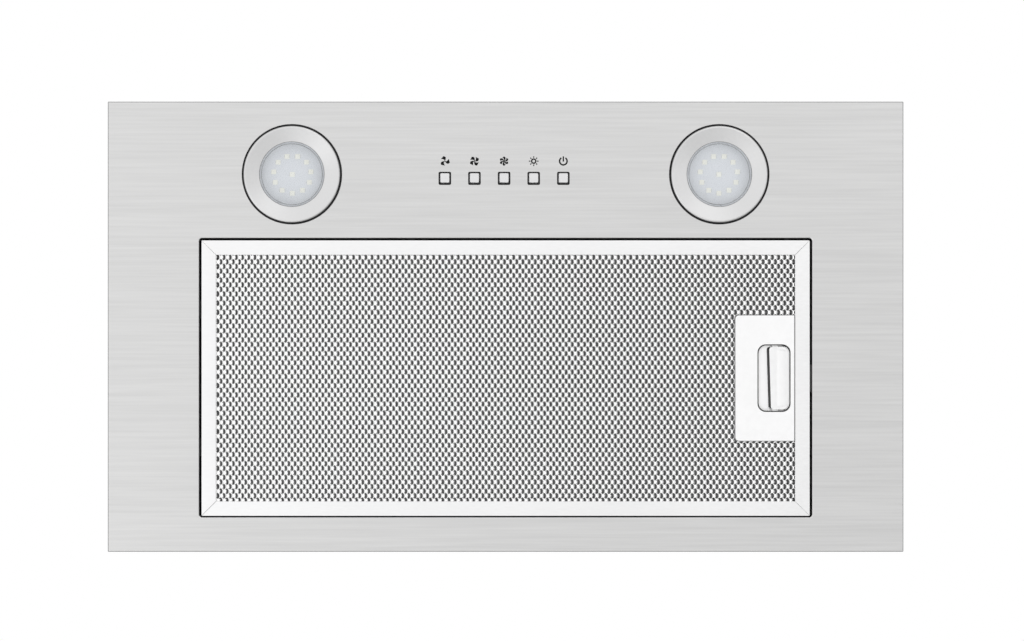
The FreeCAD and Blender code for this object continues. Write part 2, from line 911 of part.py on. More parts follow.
def scroll_half(way):
    """One half of the fan housing; way is -1 for the left one."""
    inner_face = "scroll_end_face - scroll_wall"
    whole = ("-scroll_end_face", "0") if way < 0 else ("0", "scroll_end_face")
    hollow = (f"-({inner_face})", "1") if way < 0 else ("-1", inner_face)
    case = prism("YZ", scroll_outline("scroll_wall"), *whole)
    room = prism("YZ", scroll_outline("0"), *hollow)
    for body in (case, room):
        put(body, "0", "fan_shift", "fan_level")
    lug_span = ("-lug_length", "0") if way < 0 else ("0", "lug_length")
    lip_base = f"{way} * scroll_end_face"
    lip_end = f"{way} * (scroll_end_face + inlet_lip_height)"
    lip_span = (lip_end, lip_base) if way < 0 else (lip_base, lip_end)
    flange_reach = ("-outlet_flange", "0") if way < 0 else ("0", "outlet_flange")
    flange = box(
        flange_reach, ("-outlet_flange", "outlet_flange"), ("body_roof - scroll_wall", "body_roof")
    )
    fan_centre = ("fan_shift", "fan_level")
    pieces = [case, flange]
    pieces.append(rod("X", fan_centre, "inlet_radius + inlet_lip_wall", *lip_span))
    pieces += [rod("X", place, "lug_radius", *lug_span) for place in lug_rows]
    inlet_span = (f"({lip_span[0]}) - 1", f"({lip_span[1]}) + scroll_wall + 1")
    if way > 0:
        inlet_span = (f"({lip_span[0]}) - scroll_wall - 1", f"({lip_span[1]}) + 1")
    holes = [room, rod("X", fan_centre, "inlet_radius", *inlet_span)]
    holes += [rod("X", place, "hole_radius", "-lug_length - 1", "lug_length + 1") for place in lug_rows]
    for place in collar_places:
        holes.append(rod("Z", place, "hole_radius", "body_roof - scroll_wall - 1", "body_roof + 1"))
    if way > 0:
        for place in around(3, "mount_circle", "90"):
            holes.append(rod("X", place, "hole_radius", f"{inner_face} - 1", "scroll_end_face + 1"))
    return cut(join(*pieces), *holes)


node(scroll_half(-1), "scroll_left")
node(scroll_half(1), "scroll_right")
node(group(*[screw("X", place, "2 * lug_length - 1", "lug_length") for place in lug_rows]), "scroll_screws")

# Fan wheel: a disc on a hub, curved blades about its rim, and a ring at each end of the blades

fan_centre = ("fan_shift", "fan_level")
blade_root = "wheel_radius - blade_depth"
hub = cut(
    join(
        rod("X", fan_centre, blade_root, "-hub_disc_thick / 2", "hub_disc_thick / 2"),
        rod("X", fan_centre, "hub_radius", "-hub_length / 2", "hub_length / 2"),
    ),
    rod("X", fan_centre, "shaft_radius + 0.02", "-hub_length", "hub_length"),
)
node(hub, "wheel_hub")

blade_limits = spread("0", "0", "wheel_width / 2 - wheel_ring_thick")
blade_set = new_body()
blade_set.AllowCompound = True
bow_centre = (f"{blade_root} - blade_bow", "blade_sweep * 1.5")
blade_sketch = outline(
    sketch_on(blade_set, "YZ", blade_limits[0]),
    [
        (f"{blade_root} + blade_play", "0", *bow_centre),
        ("wheel_radius - blade_tip_gap", "blade_sweep"),
        ("wheel_radius - blade_tip_gap - 0.2", "blade_sweep + blade_thick", *bow_centre),
        (f"{blade_root} + blade_play", "blade_thick"),
    ],
)
blade = pad(blade_set, blade_sketch, "wheel_width - 2 * wheel_ring_thick")
blades = blade_set.newObject("PartDesign::PolarPattern", "blades")
blades.Originals = [blade]
blades.Axis = (origin_part(blade_set, "X_Axis"), [""])
blades.Angle = 360
bind(blades, "Occurrences", "blade_count")
blade_set.Tip = blades
put(blade_set, "0", "fan_shift", "fan_level")
node(blade_set, "wheel_blades")

rings = []
for way in (-1, 1):
    limits = sorted_limits(way, "wheel_width / 2 - wheel_ring_thick", "wheel_width / 2")
    rings.append(ring("X", fan_centre, "wheel_radius", blade_root, *limits))
node(group(*rings), "wheel_rings")

# Motor: two cups, stator, windings, rotor on its shaft, bearings and through bolts

bolt_places = around(3, "motor_bolt_circle", "30")
vent_places = around(6, "motor_vent_circle")
lead_hole = around(12, "motor_vent_circle")[1]


def motor_cup(start, end, wall_start, wall_end, boss_start, boss_end):
    """A cup with a bearing boss inside its end wall."""
    cup = join(
        cut(
            rod("X", fan_centre, "motor_radius", start, end),
            rod("X", fan_centre, "motor_inner", start, end),
        ),
        rod("X", fan_centre, "motor_radius", wall_start, wall_end),
        rod("X", fan_centre, "bearing_radius + bearing_boss", boss_start, boss_end),
    )
    bearing_seat = rod("X", fan_centre, "bearing_radius + 0.02", boss_start, boss_end)
    vents = [rod("X", place, "motor_vent_radius", start, end) for place in vent_places]
    holes = [rod("X", place, "hole_radius", start, end) for place in bolt_places]
    return cut(cup, bearing_seat, *vents, *holes)


front_cup = motor_cup(
    "motor_start", "motor_middle", "motor_start", "front_bearing",
    "front_bearing", "front_bearing + bearing_width",
)
shaft_hole = rod("X", fan_centre, "shaft_radius + 1", "motor_start - 1", "front_bearing + 1")
node(cut(front_cup, shaft_hole), "motor_front_shell")
rear_cup = motor_cup(
    "motor_middle", "motor_end", "motor_end - motor_end_wall", "motor_end",
    "rear_bearing", "rear_bearing + bearing_width",
)
entry_limits = ("motor_end - motor_end_wall - 1", "motor_end + 1")
lead_entry = rod("X", lead_hole, "motor_lead_radius + lead_play", *entry_limits)
node(cut(rear_cup, lead_entry), "motor_rear_shell")

core = ring("X", fan_centre, "motor_inner - 0.05", "stator_bore", "stator_start", "stator_end")
core = cut(core, *[rod("X", place, "hole_radius", "stator_start", "stator_end") for place in bolt_places])
node(core, "stator_core")
windings = []
for start, end in (
    ("stator_start - winding_width", "stator_start"),
    ("stator_end", "stator_end + winding_width"),
):
    windings.append(ring("X", fan_centre, "winding_outer", "winding_inner", start, end))
node(group(*windings), "stator_windings")
bearings = []
for start in ("front_bearing", "rear_bearing"):
    bore = "shaft_radius + shaft_play"
    bearings.append(ring("X", fan_centre, "bearing_radius", bore, start, f"{start} + bearing_width"))
node(group(*bearings), "motor_bearings")
bolts = []
for place in bolt_places:
    bolts.append(join(
        screw("X", place, "motor_length + screw_head", "motor_end"),
        rod("X", place, "screw_head_radius", "motor_start - screw_head", "motor_start"),
    ))
node(group(*bolts), "motor_bolts")
node(
    rod("X", fan_centre, "shaft_radius", "-hub_length / 2 + 2", "motor_end - motor_end_wall - 0.3"),
    "motor_shaft",
)
rotor = ring(
    "X", fan_centre, "stator_bore - air_gap", "shaft_radius + 0.02", "stator_start", "stator_end"
)
node(rotor, "rotor_core")

# Motor bracket: a clamp ring with three arms on rubber mounts

bracket = new_body()
ring_sketch = circle(
    sketch_on(bracket, "YZ", "arm_face - bracket_ring_width / 2"),
    "0", "0", "motor_radius + bracket_ring_wall",
)
circle(ring_sketch, "0", "0", "motor_radius + 0.05")
pad(bracket, ring_sketch, "bracket_ring_width")
arm_reach = "mount_circle + mount_radius"
arm_sketch = outline(
    sketch_on(bracket, "YZ", "arm_face"),
    [
        ("-bracket_arm_width / 2", "motor_radius + bracket_ring_wall / 2"),
        ("bracket_arm_width / 2", "motor_radius + bracket_ring_wall / 2"),
        ("bracket_arm_width / 2", arm_reach),
        ("-bracket_arm_width / 2", arm_reach),
    ],
)
circle(arm_sketch, "0", "mount_circle", "hole_radius")
arm = pad(bracket, arm_sketch, "bracket_arm_thick")
arms = bracket.newObject("PartDesign::PolarPattern", "arms")
arms.Originals = [arm]
arms.Axis = (origin_part(bracket, "X_Axis"), [""])
arms.Angle = 360
arms.Occurrences = 3
bracket.Tip = arms
put(bracket, "0", "fan_shift", "fan_level")
node(bracket, "motor_bracket")

mount_places = around(3, "mount_circle", "90")
mounts = []
bracket_screws = []
for place in mount_places:
    mounts.append(ring("X", place, "mount_radius", "hole_radius", "scroll_end_face", "arm_face"))
    bracket_screws.append(screw("X", place, "long_screw", "arm_face + bracket_arm_thick"))
node(group(*mounts), "motor_mounts")
node(group(*bracket_screws), "bracket_screws")

# Grease filter: four mitred channel rails, two screens and a folded foil core

filter_across = ("-filter_end", "filter_end")
filter_along = ("filter_front", "filter_back")
frame = cut(
    box(filter_across, filter_along, ("filter_low", "filter_high")),
    box(
        spread(*filter_across, "-rail_wall"),
        spread(*filter_along, "-rail_wall"),
        ("groove_low", "groove_high"),
    ),
    box(
        ("-window_end", "window_end"),
        ("window_front", "window_back"),
        ("filter_low - 1", "filter_high + 1"),
    ),
    box(
        ("filter_end - rail_wall - 1", "filter_end + 1"),
        spread("filter_line", "filter_line", "tongue_width / 2 + slide_play"),
        ("slide_low - strike_play", "slide_low + tongue_thick + slide_play"),
    ),
)
for line in tab_lines:
    tab_hole = box(
        ("-filter_end - 1", "-filter_end + rail_wall + 1"),
        spread(line, line, "tab_width / 2 + 0.1"),
        ("tab_low", "tab_low + tab_thick + 0.1"),
    )
    frame = cut(frame, tab_hole)

left, right = "-filter_end", "filter_end"
front, back = "filter_front", "filter_back"
inner = {"left": "-window_end", "right": "window_end", "front": "window_front", "back": "window_back"}
mitres = [
    [(left, front), (right, front), (inner["right"], inner["front"]), (inner["left"], inner["front"])],
    [(right, front), (right, back), (inner["right"], inner["back"]), (inner["right"], inner["front"])],
    [(right, back), (left, back), (inner["left"], inner["back"]), (inner["right"], inner["back"])],
    [(left, back), (left, front), (inner["left"], inner["front"]), (inner["left"], inner["back"])],
]
rails = [overlap(frame, prism("XY", mitre, "filter_low - 1", "filter_high + 1")) for mitre in mitres]
node(group(*rails), "filter_rails")


def wire(corners):
    """A closed wire through (x, y) corners."""
    points = [FreeCAD.Vector(x, y, 0) for x, y in corners]
    return Part.makePolygon(points + points[:1])


def net_face(rim, left, front, back):
    """One flat face inside a rim. Its staggered gaps stay off the space right of left, from front to back."""
    columns, rows = round(size("screen_columns")), round(size("screen_rows"))
    low_x, low_y = size("-window_end"), size("window_front")
    pitch_x = size("2 * window_end") / columns
    pitch_y = size("window_back - window_front") / rows
    half_x, half_y = size("screen_hole_length / 2"), size("screen_hole_width / 2")
    gaps = []
    for row in range(rows):
        stagger = 0.25 if row % 2 else -0.25
        for column in range(columns):
            x = low_x + (column + 0.5 + stagger) * pitch_x
            y = low_y + (row + 0.5) * pitch_y
            if x + half_x > left and front - half_y < y < back + half_y:
                continue
            gaps.append(wire([(x - half_x, y), (x, y - half_y), (x + half_x, y), (x, y + half_y)]))
    return Part.makeFace([wire(rim)] + gaps, "Part::FaceMakerBullseye")


def screen(name, level, notch=None):
    """A screen with its edges in the rails' channels. A notch (left, front, back) opens its right edge."""
    edge, front_edge, back_edge = size("screen_end"), size("screen_front"), size("screen_back")
    rim = [(-edge, front_edge), (edge, front_edge), (edge, back_edge), (-edge, back_edge)]
    left, front, back = notch or (edge, back_edge, back_edge)
    if notch:
        rim[2:2] = [(edge, front), (left, front), (left, back), (edge, back)]
    margin = size("screen_thick")
    net = doc.addObject("Part::Feature", name)
    face = net_face(rim, left - margin, front - margin, back + margin)
    net.Shape = face.extrude(FreeCAD.Vector(0, 0, size("screen_thick")))
    net.Placement = FreeCAD.Placement(FreeCAD.Vector(0, 0, size(level)), FreeCAD.Rotation())
    return net


latch_front = "filter_line - latch_width / 2"
latch_back = "filter_line + latch_width / 2"
latch_notch = [size(limit) for limit in ("latch_left - 0.1", f"{latch_front} - 0.1", f"{latch_back} + 0.1")]
node(screen("lower_net", "groove_low", latch_notch), "filter_screen_lower")
node(screen("upper_net", "groove_high - screen_thick"), "filter_screen_upper")


def folded_foil():
    """A zigzag sheet between the two screens, pushed along the filter's width."""
    low = size("groove_low + screen_thick + core_foil")
    high = size("groove_high - screen_thick - core_foil")
    thick = size("core_foil")
    start, end = size("-window_end + 1"), size("latch_left - 2")
    folds = 2 * max(1, round((end - start) / size("core_pitch")))
    step = (end - start) / folds
    line = [(start + i * step, high if i % 2 else low) for i in range(folds + 1)]
    under = [FreeCAD.Vector(x, 0, z - thick / 2) for x, z in line]
    over = [FreeCAD.Vector(x, 0, z + thick / 2) for x, z in reversed(line)]
    face = Part.Face(Part.makePolygon(under + over + under[:1]))
    foil = doc.addObject("Part::Feature", "foil")
    foil.Shape = face.extrude(FreeCAD.Vector(0, size("window_back - window_front") - 2, 0))
    foil.Placement = FreeCAD.Placement(FreeCAD.Vector(0, size("window_front") + 1, 0), FreeCAD.Rotation())
    return foil


node(folded_foil(), "filter_core")

pegs = []
for line in tab_lines:
    strip = box(
        ("tab_pivot", "-filter_end + tab_inside"),
        spread(line, line, "tab_width / 2"),
        ("tab_low", "tab_low + tab_thick"),
    )
    eye_span = spread(line, line, "tab_width / 2")
    pegs.append(join(strip, rod("Y", ("tab_pivot", "tab_middle"), "tab_eye", *eye_span)))
node(group(*pegs), "filter_pegs")

# Latch: a cover plate with a finger recess, a tray behind it, and a sprung slide with a tongue

cover_corners = [
    ("latch_right", latch_front),
    ("latch_right", latch_back),
    ("latch_left + latch_corner", latch_back, "latch_left + latch_corner", f"{latch_back} - latch_corner"),
    ("latch_left", f"{latch_back} - latch_corner"),
    ("latch_left", f"{latch_front} + latch_corner",
     "latch_left + latch_corner", f"{latch_front} + latch_corner"),
    ("latch_left + latch_corner", latch_front),
]
recess_outline = round_corners(
    "recess_left",
    "recess_right",
    "filter_line - recess_width / 2",
    "filter_line + recess_width / 2",
    "recess_corner",
)
cover = cut(
    prism("XY", cover_corners, "cover_low", "cover_high"),
    prism("XY", recess_outline, "cover_low - 1", "cover_high + 1"),
)
node(cover, "latch_cover")


def about_middle(half):
    """Limits along Y, as far each side of the filter's middle."""
    return f"filter_line - ({half})", f"filter_line + ({half})"


tray = cut(
    box(("tray_left", "latch_right"), about_middle("tray_width / 2"),
        ("cover_high", "tray_roof + tray_wall")),
    box(("spring_face", "latch_right + 1"), about_middle("tray_inner"), ("cover_high - 1", "tray_roof")),
    box(
        ("tray_left + tray_wall", "spring_face - 2 * tray_wall"),
        about_middle("tray_inner"),
        ("cover_high - 1", "tray_roof"),
    ),
)
node(tray, "latch_tray")

ear_left = "spring_face + latch_spring_length"
finger_outline = round_corners(
    "finger_left", "finger_right", *about_middle("finger_half"), "recess_corner - finger_side_play"
)
dish_centre = ("finger_right", "cover_low + latch_sink + dish_depth - dish_radius")
slide = cut(
    join(
        prism("XY", finger_outline, "cover_low + latch_sink", "slide_high"),
        box(("finger_left", "slide_right"), about_middle("finger_half"), ("slide_low", "slide_high")),
        box((ear_left, f"{ear_left} + ear_length"), about_middle("tray_inner - slide_play"),
            ("slide_low", "slide_high")),
        box(("slide_right - 1", "tongue_tip"), about_middle("tongue_width / 2"),
            ("slide_low", "slide_low + tongue_thick")),
    ),
    overlap(
        rod("Y", dish_centre, "dish_radius", *about_middle("finger_half - 3")),
        box(("finger_left + 1", "finger_right"), about_middle("finger_half"), ("cover_low", "slide_high")),
    ),
)
node(slide, "latch_slide")
springs = []
for side in (-1, 1):
    line = f"filter_line + {side} * latch_spring_offset"
    springs.append(ring(
        "X",
        (line, "spring_level"),
        "latch_spring_radius",
        "latch_spring_radius - latch_spring_wire",
        "spring_face",
        ear_left,
    ))
node(group(*springs), "latch_spring")

# Lamps

bezel_outline = [
    ("face - bezel_dip", "lens_opening"),
    ("bezel_front", "bezel_radius - bezel_rim"),
    ("bezel_front + bezel_rim", "bezel_radius"),
    ("face", "bezel_radius"),
    ("face", "spigot_radius"),
    ("spigot_top", "spigot_radius"),
    ("spigot_top", "spigot_bore"),
    ("lens_high", "spigot_bore"),
    ("lens_high", "lens_seat_radius"),
    ("face", "lens_seat_radius"),
    ("face", "lens_opening"),
]
housing_outline = [
    ("lamp_foot", "lens_opening + 0.4"),
    ("lamp_foot", "lamp_radius"),
    ("lamp_top", "lamp_radius"),
    ("lamp_top", "lamp_lead_radius + lead_play"),
    ("lamp_top - lamp_wall", "lamp_lead_radius + lead_play"),
    ("lamp_top - lamp_wall", "lamp_bore"),
    ("board_low", "lamp_bore"),
    ("board_low", "lens_opening + 0.4"),
]
lamp_pieces = {"lamp_bezels": [], "lamp_lenses": [], "lamp_housings": [], "led_boards": [], "lamp_clips": []}
for place in lamp_places:
    bezel = turned("Z", bezel_outline)
    housing = turned("Z", housing_outline)
    for piece in (bezel, housing):
        put(piece, place, "-lamp_line", "0")
    centre = (place, "-lamp_line")
    lamp_pieces["lamp_bezels"].append(bezel)
    lamp_pieces["lamp_lenses"].append(rod("Z", centre, "lens_radius", "lens_low", "lens_high"))
    lamp_pieces["lamp_housings"].append(housing)
    chip = ("board_low - led_height", "board_low")
    led_spots = [centre]
    for i in range(round(size("led_count"))):
        turn = f"90 + {i} * 360 / led_count"
        led_spots.append((f"{place} + led_circle * cos({turn})", f"-lamp_line + led_circle * sin({turn})"))
    chips = [box(spread(x, x, "led_size / 2"), spread(y, y, "led_size / 2"), chip) for x, y in led_spots]
    board = rod("Z", centre, "lamp_bore - lens_play", "board_low", "board_high")
    lamp_pieces["led_boards"].append(join(board, *chips))
    for way in (-1, 1):
        wall = f"{place} + {way} * spigot_radius"
        foot = f"{place} + {way} * (spigot_radius + clip_reach)"
        clip_outline = [
            (wall, "spigot_top"),
            (f"{wall} + {way} * clip_thick", "spigot_top"),
            (f"{wall} + {way} * clip_thick", "spigot_top - clip_root"),
            (f"{foot} + {way} * clip_thick", "clip_foot + clip_thick"),
            (f"{foot} + {way} * clip_thick", "clip_foot"),
            (f"{foot} - {way} * clip_thick", "clip_foot"),
            (wall, "spigot_top - clip_root - clip_thick"),
        ]
        clip = prism("XZ", clip_outline, *spread("-lamp_line", "-lamp_line", "clip_width / 2"))
        lamp_pieces["lamp_clips"].append(clip)
for label, pieces in lamp_pieces.items():
    node(group(*pieces), label)

# Push buttons in their guide, with the switch block above

guide_across = ("button_shift - guide_end", "button_shift + guide_end")
guide = join(
    box(guide_across, spread("-button_line", "-button_line", "guide_width / 2"),
        ("plate_back", "guide_top")),
    *button_holes(
        "button_hole_length - 2 * guide_play",
        "button_hole_width - 2 * guide_play",
        "face",
        "guide_top",
        corner="button_hole_corner - guide_play",
    ),
)
guide = cut(
    guide,
    *button_holes(
        "cap_length + 2 * cap_play", "cap_width + 2 * cap_play", "face - 1", "guide_top + 1", "-cap_shift"
    ),
)
node(guide, "button_guide")

switch_across = ("button_shift - switch_end", "button_shift + switch_end")
switch_holes = button_holes(
    "cap_length + 2 * (cap_flange + cap_play)",
    "cap_width + 2 * (cap_flange + cap_play)",
    "guide_top - 1",
    "cavity_top",
    "-cap_shift",
)
switch_holes += button_holes(
    "stem_size + 2 * stem_play",
    "stem_size + 2 * stem_play",
    "cavity_top - 1",
    "stem_top + button_spring_length",
    "-cap_shift",
)
switch_block = box(
    switch_across, spread("-button_line", "-button_line", "switch_width / 2"), ("guide_top", "switch_top")
)
node(cut(switch_block, *switch_holes), "switch_block")

cap_middle = "-button_line - cap_shift"
button_names = ["low_speed", "middle_speed", "high_speed", "lamp", "power"]
button_springs = []
for name, place in zip(button_names, button_places):
    cap_outline = round_corners(
        *spread(place, place, "cap_length / 2"),
        *spread(cap_middle, cap_middle, "cap_width / 2"),
        "cap_corner",
    )
    cap = join(
        prism("XY", cap_outline, "cap_low", "cap_high"),
        box(
            spread(place, place, "cap_length / 2 + cap_flange"),
            spread(cap_middle, cap_middle, "cap_width / 2 + cap_flange"),
            ("cap_stop", "cap_high"),
        ),
        box(
            spread(place, place, "stem_size / 2"),
            spread(cap_middle, cap_middle, "stem_size / 2"),
            ("cap_high", "stem_top"),
        ),
    )
    node(cap, f"{name}_button")
    button_springs.append(ring(
        "Z",
        (place, cap_middle),
        "button_spring_radius",
        "button_spring_radius - button_spring_wire",
        "stem_top",
        "stem_top + button_spring_length",
    ))
node(group(*button_springs), "button_springs")

# Electrics bay: control box on the front wall, capacitor, terminals and leads

lead_bore = "lamp_lead_radius + lead_play"
box_across = ("-box_end", "box_end")
box_along = ("box_front", "box_back")
control_box = cut(
    box(box_across, box_along, ("box_level", "box_top")),
    box(spread(*box_across, "-box_wall"), spread(*box_along, "-box_wall"),
        ("box_level + box_wall", "box_top + 1")),
    rod("Y", ("motor_lead_line", "lead_level"), "motor_lead_radius + lead_play",
        "box_back - box_wall - 1", "box_back + 1"),
    rod("X", ("-gland_line", "lamp_lead_level"), lead_bore, "-box_end - 1", "box_end + 1"),
    rod("Z", ("button_shift", "-switch_lead_line"), lead_bore,
        "box_level - 1", "box_level + box_wall + 1"),
)
node(control_box, "control_box")
node(box(box_across, box_along, ("box_top", "box_top + box_wall")), "control_box_lid")

capacitor_centre = ("-capacitor_line", "capacitor_level")
capacitor_span = spread("-capacitor_offset", "-capacitor_offset", "capacitor_length / 2")
node(rod("X", capacitor_centre, "capacitor_radius", *capacitor_span), "capacitor")
clip_span = spread("-capacitor_offset", "-capacitor_offset", "clip_ring_length / 2")
clip_ring = cut(
    join(
        rod("X", capacitor_centre, "clip_ring_bore + clip_ring_wall", *clip_span),
        box(clip_span, spread("-capacitor_line", "-capacitor_line", "clip_foot_width / 2"),
            ("box_level + box_wall", "box_level + box_wall + clip_ring_wall")),
    ),
    rod("X", capacitor_centre, "clip_ring_bore", *spread(*clip_span, "1")),
    box(spread(*clip_span, "1"), spread("-capacitor_line", "-capacitor_line", "clip_mouth_width / 2"),
        ("capacitor_level", "box_top")),
)
node(clip_ring, "capacitor_clip")
terminal = box(
    spread("terminal_offset", "terminal_offset", "terminal_length / 2"),
    ("-terminal_back - terminal_depth", "-terminal_back"),
    ("box_level + box_wall", "terminal_level + terminal_height"),
)
for i in range(-2, 3):
    place = (f"terminal_offset + {i} * terminal_length / 5", "-terminal_back - terminal_depth / 2")
    terminal = cut(terminal, rod("Z", place, "2", "terminal_level + terminal_height - 6", "box_top"))
node(terminal, "terminal_block")

gland_centre = ("gland_offset", "-gland_line")
gland_end = "body_height + gland_height"
gland = cut(
    join(
        rod("Z", gland_centre, "gland_thread_radius", "body_roof - gland_nut - 1", gland_end),
        rod("Z", gland_centre, "gland_nut_radius", "body_roof - gland_nut", "body_roof"),
        rod("Z", gland_centre, "gland_nut_radius", "body_height", "body_height + gland_nut"),
        rod("Z", gland_centre, "gland_dome_radius", "body_height + gland_nut", gland_end),
    ),
    rod("Z", gland_centre, "gland_bore / 2", "body_roof - 20", f"{gland_end} + 1"),
)
node(gland, "cable_gland")


def lead(name, radius, route):
    """A tube of straight runs joined by tangent arcs, as large as the runs allow."""
    points = [FreeCAD.Vector(*[size(value) for value in point]) for point in route]
    edges = []
    start = points[0]
    for before, corner, after in zip(points, points[1:], points[2:]):
        back, ahead = before - corner, after - corner
        turn = math.pi - back.getAngle(ahead)
        trim = 0.45 * min(back.Length, ahead.Length)
        print(f"{name}: bend radius {trim / math.tan(turn / 2):.1f}")
        back.normalize()
        ahead.normalize()
        arc_start, arc_end = corner + back * trim, corner + ahead * trim
        middle = (back + ahead).normalize()
        bend = trim / math.tan(turn / 2)
        centre = corner + middle * (bend / math.cos(turn / 2))
        edges.append(Part.LineSegment(start, arc_start).toShape())
        edges.append(Part.Arc(arc_start, centre - middle * bend, arc_end).toShape())
        start = arc_end
    edges.append(Part.LineSegment(start, points[-1]).toShape())
    path = Part.Wire(edges)
    way = points[1] - points[0]
    profile = Part.Wire(Part.makeCircle(size(radius), points[0], way))
    tube = doc.addObject("Part::Feature", name)
    tube.Shape = path.makePipeShell([profile], True, False)
    expected = math.pi * size(radius) ** 2 * path.Length
    print(f"{name}: volume {tube.Shape.Volume / expected:.4f} of section times length")
    return tube


lamp_leads = []
for way, place in zip((-1, 1), lamp_places):
    lamp_leads.append(lead("lamp_lead", "lamp_lead_radius", [
        (place, "-lamp_line", "lamp_top - lamp_wall"),
        (place, "-lamp_line", "lamp_top + 26"),
        (f"{place} - {way} * 29", "-gland_line", "lamp_lead_level"),
        (f"{way} * (box_end - box_wall)", "-gland_line", "lamp_lead_level"),
    ]))
lamp_leads.append(lead("switch_lead", "lamp_lead_radius", [
    ("button_shift", "-switch_lead_line", "switch_top"),
    ("button_shift", "-switch_lead_line", "box_level + box_wall + 2"),
]))
motor_lead = lead("motor_lead_tube", "motor_lead_radius", [
    ("motor_lead_line", "-terminal_back", "lead_level"),
    ("motor_lead_line", "partition_back + 20", "lead_level"),
    ("motor_end + 10", "-12", "lead_level + 10"),
    ("motor_end + 30", "fan_shift - 10", "fan_level - 4"),
    ("motor_end + 32", *lead_hole),
    ("motor_end - 2", *lead_hole),
])
node(group(*lamp_leads, motor_lead), "inner_leads")

# Spring clips that hold the body up in the cabinet's cut-out

cabinet_clips = []
for way in (-1, 1):
    wall = f"{way} * body_end"
    tip = f"{wall} + {way} * (cabinet_clip_nose - cabinet_clip_return - cabinet_clip_gauge)"
    clip_outline = [
        (wall, "cabinet_clip_top"),
        (f"{wall} + {way} * cabinet_clip_gauge", "cabinet_clip_top"),
        (f"{wall} + {way} * cabinet_clip_gauge", "cabinet_clip_bend"),
        (f"{wall} + {way} * cabinet_clip_nose", "cabinet_clip_nose_level"),
        (f"{tip} + {way} * cabinet_clip_gauge", "cabinet_clip_nose_level - cabinet_clip_drop"),
        (tip, "cabinet_clip_nose_level - cabinet_clip_drop + cabinet_clip_gauge / 2"),
        (f"{wall} + {way} * (cabinet_clip_nose - 1.2 * cabinet_clip_gauge)", "cabinet_clip_nose_level"),
        (wall, "cabinet_clip_bend - 0.7 * cabinet_clip_gauge"),
    ]
    strip = prism("XZ", clip_outline, *spread("0", "0", "cabinet_clip_width / 2"))
    for side in (-1, 1):
        place = (f"{side} * cabinet_clip_screw_spacing / 2", "cabinet_clip_screw_level")
        strip = cut(strip, rod("X", place, "hole_radius", f"{wall} - 2", f"{wall} + 2"))
        short_screws.append(screw("X", place, "short_screw", f"{wall} + {way} * cabinet_clip_gauge", way))
    cabinet_clips.append(strip)
node(group(*cabinet_clips), "cabinet_clips")
node(group(*short_screws), "short_screws")

# Check every feature and write one file for each node

doc.recompute()
for thing in doc.Objects:
    if "Invalid" in thing.State or "Error" in thing.State:
        raise RuntimeError(f"{thing.Name} ({thing.Label}) failed: {thing.State}")
os.makedirs("parts", exist_ok=True)
for thing in nodes:
    shape = thing.Shape
    if shape.isNull() or not shape.isValid() or not shape.Solids:
        raise RuntimeError(f"{thing.Label} has no valid solid")
    shape.exportStep(os.path.join("parts", thing.Label + ".step"))
    print(f"{thing.Label}: {len(shape.Solids)} solid(s), {shape.Volume / 1000:.2f} cm3")
print(f"{len(nodes)} nodes")
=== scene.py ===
import bmesh
import bpy
import math
from mathutils import Matrix, Vector


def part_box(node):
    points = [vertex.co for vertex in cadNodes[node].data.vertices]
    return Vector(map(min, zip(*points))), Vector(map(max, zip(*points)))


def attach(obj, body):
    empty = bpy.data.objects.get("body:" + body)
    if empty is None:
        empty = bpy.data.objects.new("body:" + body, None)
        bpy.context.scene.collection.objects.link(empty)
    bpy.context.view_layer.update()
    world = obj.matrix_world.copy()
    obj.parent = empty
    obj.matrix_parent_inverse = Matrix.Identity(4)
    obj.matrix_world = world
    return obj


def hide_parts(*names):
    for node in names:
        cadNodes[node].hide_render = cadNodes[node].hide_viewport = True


# A range hood insert seen from below, as it hangs in its cabinet. +Z is up towards the duct, the
# buttons and lamps are at the front, -Y, and the filter is hinged at the left, -X.

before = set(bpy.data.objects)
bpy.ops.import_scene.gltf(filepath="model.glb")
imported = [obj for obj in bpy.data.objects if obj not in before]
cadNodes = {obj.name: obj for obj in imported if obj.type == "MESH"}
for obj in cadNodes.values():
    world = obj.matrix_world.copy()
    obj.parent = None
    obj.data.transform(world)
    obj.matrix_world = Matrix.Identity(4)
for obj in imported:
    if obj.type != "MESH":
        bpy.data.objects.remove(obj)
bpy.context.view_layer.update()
mm = 0.001
print("frame:", len(cadNodes), "nodes")


def centreOf(node):
    low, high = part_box(node)
    return (low + high) / 2


def widthOf(node):
    low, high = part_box(node)
    return high - low


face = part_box("face_plate")[0].z  # the level of the plate's lower face

# Camera, straight below the plate

view = {
    "distance": 2.5,
    "pictureWidth": 1024,
    "pictureHeight": 641,
    "plateWidth": 795.6,  # pixels
    "plateCentreX": 505.6,
    "plateCentreY": 326.7,
}


def addCamera():
    pixel = widthOf("face_plate").x / view["plateWidth"]
    bpy.ops.object.camera_add(rotation=(math.pi, 0, 0))
    camera = bpy.context.object
    camera.data.lens = camera.data.sensor_width * view["distance"] / (view["pictureWidth"] * pixel)
    camera.data.clip_end = 100
    camera.location = (
        (view["pictureWidth"] / 2 - view["plateCentreX"]) * pixel,
        (view["pictureHeight"] / 2 - view["plateCentreY"]) * pixel,
        face - view["distance"],
    )
    bpy.context.scene.camera = camera
    print("camera: lens", round(camera.data.lens, 1))


addCamera()

# Materials


def newFinish(name, colour, roughness, metallic=0.0):
    finish = bpy.data.materials.new(name)
    finish.use_nodes = True
    shader = finish.node_tree.nodes["Principled BSDF"]
    shader.inputs["Base Color"].default_value = (*colour, 1)
    shader.inputs["Roughness"].default_value = roughness
    shader.inputs["Metallic"].default_value = metallic
    return finish


